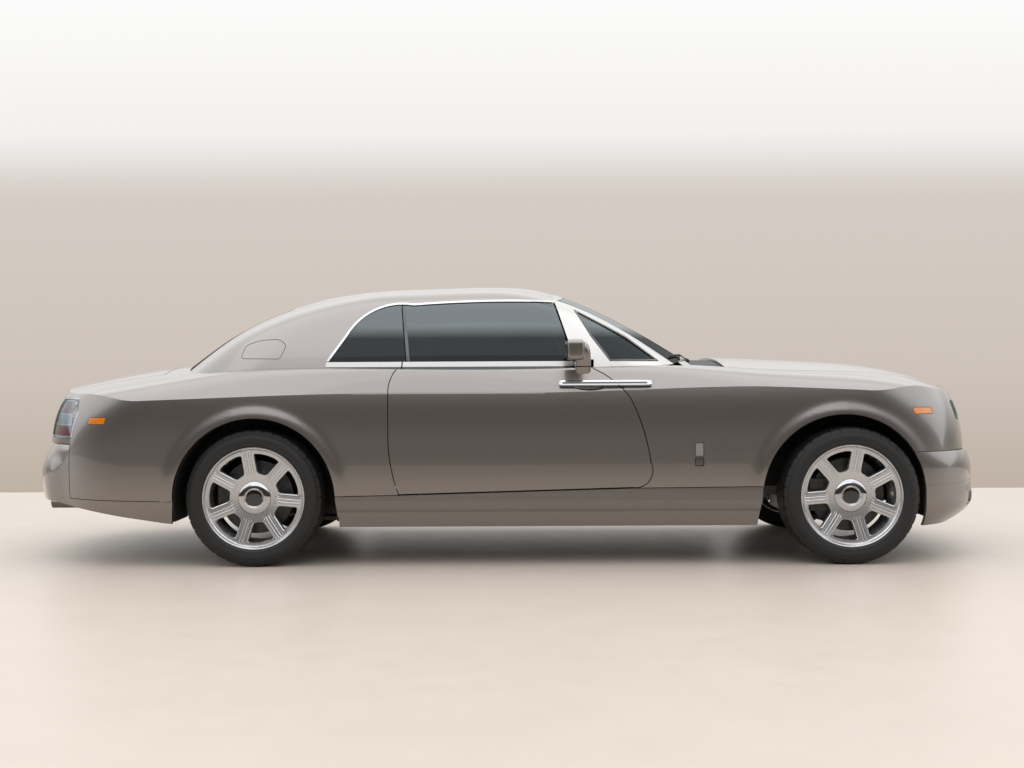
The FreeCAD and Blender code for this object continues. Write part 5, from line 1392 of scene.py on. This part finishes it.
wiper_parts = []
for pivot, ends in ((-430.0, (-640.0, 20.0)), (170.0, (60.0, 640.0))):
    line = [screen_place(y, 1158 + 10 * math.sin(math.pi * (y - ends[0]) / (ends[1] - ends[0])), 9)
            for y in np.linspace(*ends, 24)]
    wiper_parts.append(rod("blade", line, 4.0, 5.0))
    middle = (ends[0] + ends[1]) / 2
    arm = [screen_place(y, 1131 + 34.2 * ((y - pivot) / (middle - pivot)) ** 2, 16)
           for y in np.linspace(pivot, middle, 12)]
    wiper_parts.append(rod("arm", arm, 8.0, 4.0))
    wiper_parts.append(barrel("cap", [(0, 16), (12, 14), (16, 4), (16, -18), (0, -18)], screen_place(pivot, 1128, 12),
                              (0.55, 0.0, 0.83)))
dress(join("wipers", wiper_parts), black, "body", angle=30)

# Front seats: cushion, back and headrest of foam on a steel frame, covered in sewn and fluted leather. The headrests
# stand on plated posts, and the seats on plain boxes.

# Light tan bull hide, dyed through and lightly sealed: a pebbled grain of 2.4 mm and a soft 70 mm mottle.
leather, tree, shader, place = material("leather", "#b99a77", 0.42, 0.0, Coat_Weight=0.1, Coat_Roughness=0.3)
mottle = node(tree, "ShaderNodeTexNoise", {"Vector": place, "Scale": 1000 / 71.4, "Detail": 4.0})
node(tree, "ShaderNodeMix", {"Factor": mottle, "A": linear("#a98a68"), "B": linear("#c2a584")}, "Result",
     shader["Base Color"], data_type="RGBA")
pebbles = node(tree, "ShaderNodeTexVoronoi", {"Vector": place, "Scale": 1000 / 2.38})
node(tree, "ShaderNodeBump", {"Height": pebbles, "Strength": 0.35, "Distance": 0.0008}, to=shader["Normal"])


def pad(centre, ahead, sizes, flutes, bulge=12.0, bolster=16.0, cuts=36):
    """Stuffed pad: a block with round edges and a crowned face, with a sewn border and flutes sewn along it."""
    bm = bmesh.new()
    bmesh.ops.create_cube(bm, size=2.0)
    bmesh.ops.subdivide_edges(bm, edges=bm.edges[:], cuts=cuts, use_grid_fill=True)
    along = np.array([ahead[0], 0.0, ahead[1]]) / math.hypot(*ahead)
    normal = np.array([-along[2], 0.0, along[0]])
    for v in bm.verts:
        s, t, n = v.co
        spread = (abs(s) ** 7 + abs(t) ** 7 + abs(n) ** 7) ** (1 / 7)
        p = np.array([s, t, n]) / spread * sizes
        if n > 0.98:
            edge = max(abs(t) - 0.64, abs(s) - 0.84)
            lift = bulge * (1 - s * s) * (1 - t * t)
            lift += bolster * math.sin(math.pi * min(1.0, max(0.0, (abs(t) - 0.6) / 0.4))) if bolster else 0.0
            lift -= 8.0 * math.exp(-(edge / 0.028) ** 2)
            if flutes and edge < 0:
                wave = abs(math.sin(math.pi * flutes * (t + 0.64) / 1.28))
                lift -= 7.0 * (1 - wave) ** 3
            p[2] += lift
        elif n < 0.3 and abs(abs(n) - 0.25) < 0.06:
            p[1] *= 1 - 0.006
        v.co = (np.array(centre) + along * p[0] + np.array([0.0, p[1], 0.0]) + normal * p[2]) * 0.001
    mesh = bpy.data.meshes.new("pad")
    bm.to_mesh(mesh)
    bm.free()
    piece = bpy.data.objects.new("pad", mesh)
    scene.collection.objects.link(piece)
    return fix_normals(piece)


for side, name in ((1, "left"), (-1, "right")):
    y = side * 390.0
    parts = [wear(pad((205, y, 396), (1.0, 0.05), (300, 230, 74), 6), leather),
             wear(pad((-243, y, 728), (-0.262, 0.965), (296, 230, 62), 6), leather),
             wear(pad((-334, y, 1118), (-0.10, 0.995), (92, 128, 38), 0, 8.0, 0.0, 20), leather)]
    posts = [wear(barrel("post", [(0, -45), (7, -45), (7, 45), (0, 45)], (-326, y + d, 1018), (-0.1, 0, 0.995)), chrome)
             for d in (-60, 60)]
    seat = dress(join("front_seat_" + name, parts + posts), None, "body", "front_seats", angle=40, slot="leather")

# Rear seats: two fluted places with a narrow middle, foam under sewn leather, on a dark base between the wheel
# housings.
parts = []
for y, half, flutes in ((-330.0, 264.0, 7), (330.0, 264.0, 7), (0.0, 60.0, 0)):
    parts.append(wear(pad((-757, y, 440), (1.0, 0.127), (196, half, 58), flutes, 12.0, 10.0 if flutes else 0.0,
                          36 if flutes else 14), leather))
    parts.append(wear(pad((-1052, y, 735), (-0.203, 0.979), (258, half, 52), flutes, 12.0, 10.0 if flutes else 0.0,
                          36 if flutes else 14), leather))
for y in (-330.0, 330.0):
    parts.append(wear(pad((-1092, y, 1040), (-0.15, 0.989), (48, 120, 30), 0, 6.0, 0.0, 20), leather))
bases = [wear(soft_box(-1134, -574, min(a, b), max(a, b), 248, 405, 10), dash) for a, b in ((152, 596), (-152, -596))]
rear_row = dress(join("rear_seats", parts + bases), None, "body", "rear_seat", angle=40, slot="leather")

# Dashboard: foam and leather on a moulded carrier, bolted between the door pillars, with a veneer band, four round
# plated vents and three dials in front of the driver.

# Walnut veneer, sliced thin and lacquered: dark grain 17 mm wide that runs ten times as long.
veneer, tree, shader, place = material("veneer", "#4a2412", 0.2, 0.0, Coat_Weight=1.0, Coat_Roughness=0.03)
stretched = node(tree, "ShaderNodeMapping", {"Vector": place, "Scale": (1000 / 16.7, 1000 / 167, 1000 / 16.7)})
figure = node(tree, "ShaderNodeTexNoise", {"Vector": stretched, "Scale": 1.0, "Detail": 8.0})
node(tree, "ShaderNodeMix", {"Factor": figure, "A": linear("#2c1409"), "B": linear("#6d3a1d")}, "Result",
     shader["Base Color"], data_type="RGBA")

dash_points = softened([(1074, 1058), (742, 1060), (655, 1019), (645, 932), (722, 880), (842, 692), (1000, 602),
                        (1074, 602)], 16.0)
dash_body = side_prism(dash_points, -820, 820)
axis = np.array([-math.cos(math.radians(24)), 0.0, math.sin(math.radians(24))])
hub_spot = np.array([520.0, 390.0, 920.0])
cut(dash_body, barrel("way", [(0, -300), (27, -300), (27, 300), (0, 300)], hub_spot - axis * 300, axis))
furniture = [wear(dash_body, dash)]
band = side_prism([(643.5, 940), (650.5, 1008), (662, 1008), (662, 940)], -812, 812)
band = cut(band, side_prism([(655, 900), (655, 1060), (700, 1060), (700, 900)], 250, 530))
furniture.append(wear(band, veneer))
rounds = []
for y in (-640.0, -130.0, 130.0, 690.0):
    rounds.append(([(26, -4), (28, 6), (34, 8), (38, 4), (38, -8), (26, -8)], (646, y, 974), chrome))
    rounds.append(([(0, 1), (26, 0), (26, -6), (0, -6)], (646, y, 974), black))
for y, r in ((312.0, 36.0), (390.0, 40.0), (468.0, 36.0)):
    rounds.append(([(0, 0), (r - 3, 0), (r - 3, -8), (0, -8)], (648, y, 976), gloss))
    rounds.append(([(r - 3, -8), (r - 3, 3), (r, 4), (r + 2, 2), (r + 2, -8)], (648, y, 976), chrome))
furniture += [wear(barrel("round", profile, spot, (-1, 0, 0.1)), look) for profile, spot, look in rounds]
dress(join("dashboard_trim", furniture), None, "body", "dashboard", angle=30)

# Console: leather over a moulded box on the tunnel, with a veneer top, three plated knobs and a padded armrest.
console_points = softened([(808, 412), (788, 676), (560, 596), (-418, 586), (-446, 412)], 22.0)
middle = [wear(side_prism(console_points, -133, 133), dash)]
console_top = [(-60, 586), (-60, 594), (558, 602), (760, 672), (766, 664), (560, 592)]
middle.append(wear(side_prism(console_top, -96, 96), veneer))
middle.append(wear(pad((-160, 0, 640), (1.0, 0.02), (212, 98, 40), 0, 8.0, 0.0, 16), leather))
middle += [wear(barrel("knob", [(0, 10), (18, 9), (22, 4), (22, -14), (0, -14)], (x, y, 612), (0.05, 0, 1)), chrome)
           for x, y in ((300, 0), (420, 50), (420, -50))]
dress(join("console_trim", middle), None, "body", "console", angle=30)

# Steering wheel: a thin leather rim, a padded hub in a plated ring and two brushed spokes, on a column that leans
# back 24 degrees through the dashboard.
loop = [(185 + 15.5 * math.cos(a), 15.5 * math.sin(a)) for a in np.linspace(0, 2 * math.pi, 24, endpoint=False)]
hub_form = [(0, 6), (30, 5), (50, 1), (60, -8), (62, -20), (58, -42), (0, -44)]
hub_ring = [(63, -12), (65, -10), (66, -14), (64, -20), (61, -20)]
wheel_parts = [wear(barrel("rim", loop, hub_spot, axis, 120), dash),
               wear(barrel("hub", hub_form, hub_spot, axis), dash),
               wear(barrel("hub_ring", hub_ring, hub_spot, axis), chrome),
               wear(barrel("column", [(0, 10), (24, 10), (24, -150), (0, -150)], hub_spot - axis * 55, axis), black)]
across_way = np.array([0.0, 1.0, 0.0])
upright = np.cross(across_way, axis)
for side in (-1, 1):
    rings = [[tuple(hub_spot - axis * (14 - n) + across_way * side * r + upright * t) for t, n in
              ((-w, -5), (w, -5), (w, 3), (w - 4, 6), (-w + 4, 6), (-w, 3))]
             for r, w in ((50, 17), (90, 13), (140, 11), (176, 13))]
    wheel_parts.append(wear(ring_solid("spoke", rings), satin))
dress(join("steering_wheel_trim", wheel_parts), None, "steering_wheel", "steering_wheel", angle=30)

# Door cards: a leather panel clipped to the inside of each door, with a padded armrest, a veneer strip and a plated
# pull.
card = soft_box(-470, 470, 817, 831, 470, 1030, 6)
rest_pad = soft_box(-330, 330, 786, 822, 690, 738, 15, 5)
inlay = soft_box(-450, 450, 812, 820, 930, 985, 3)
pull = soft_box(180, 300, 800, 816, 880, 896, 5)
card_parts = [wear(card, dash), wear(rest_pad, leather), wear(inlay, veneer), wear(pull, chrome)]
both(join("door_card", card_parts), "door_card", None, "door_", angle=30)

# Structure under the skin, as the part's own solids: sills, cowl, seat boxes, floor, welded front and rear structure,
# subframes, engine block, exhaust and knuckles. They keep their meshes and places and only get their finish.

# Pressed mild steel under sprayed bitumen underseal: dull, nearly black, with lumps about 33 mm apart.
steel, tree, shader, place = material("steel", "#1b1a1a", 0.7, 0.2)
underseal = node(tree, "ShaderNodeTexNoise", {"Vector": place, "Scale": 1000 / 33.3, "Detail": 6.0})
node(tree, "ShaderNodeMix", {"Factor": underseal, "A": linear("#121212"), "B": linear("#272523")}, "Result",
     shader["Base Color"], data_type="RGBA")
node(tree, "ShaderNodeBump", {"Height": underseal, "Strength": 0.3, "Distance": 0.002}, to=shader["Normal"])

# Aluminium alloy of the engine, sand cast: a grey 2.4 mm grain, stained in patches 80 mm wide.
cast, tree, shader, place = material("engine", "#8b8b8c", 0.55, 0.8)
grain = node(tree, "ShaderNodeTexNoise", {"Vector": place, "Scale": 1000 / 2.38, "Detail": 4.0})
node(tree, "ShaderNodeBump", {"Height": grain, "Strength": 0.35, "Distance": 0.001}, to=shader["Normal"])
stains = node(tree, "ShaderNodeTexNoise", {"Vector": place, "Scale": 1000 / 83.3, "Detail": 4.0})
node(tree, "ShaderNodeMix", {"Factor": stains, "A": linear("#77777a"), "B": linear("#98989a")}, "Result",
     shader["Base Color"], data_type="RGBA")

# Stainless steel of the exhaust, bent and welded, browned by heat over lengths of 160 mm or so.
pipe, tree, shader, place = material("exhaust_steel", "#77716a", 0.4, 0.9)
stains = node(tree, "ShaderNodeTexNoise", {"Vector": place, "Scale": 1000 / 167, "Detail": 4.0})
node(tree, "ShaderNodeMix", {"Factor": stains, "A": linear("#5d564e"), "B": linear("#8d8881")}, "Result",
     shader["Base Color"], data_type="RGBA")

# Wool carpet with a cut pile, tufts 1.4 mm apart: no gloss, and a soft sheen across the pile.
carpet, tree, shader, place = material("carpet_steel", "#4b3d30", 0.95, 0.0, Sheen_Weight=0.5)
pile = node(tree, "ShaderNodeTexNoise", {"Vector": place, "Scale": 1000 / 1.43, "Detail": 3.0})
node(tree, "ShaderNodeMix", {"Factor": pile, "A": linear("#3a2f25"), "B": linear("#5c4c3c")}, "Result",
     shader["Base Color"], data_type="RGBA")
node(tree, "ShaderNodeBump", {"Height": pile, "Strength": 0.6, "Distance": 0.002}, to=shader["Normal"])

looks = {"sills": paint, "cowl": black, "seat_bases": black, "floor": carpet, "front_structure": steel,
         "rear_structure": steel, "front_subframe": iron, "rear_subframe": iron, "engine_block": cast, "exhaust": pipe,
         "knuckle_left": iron, "knuckle_right": iron}
for name, look in looks.items():
    wear(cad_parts[name], look)

remove(solid, hollow, shell, cabin_solid, cabin_inner, cabin_shell, left)
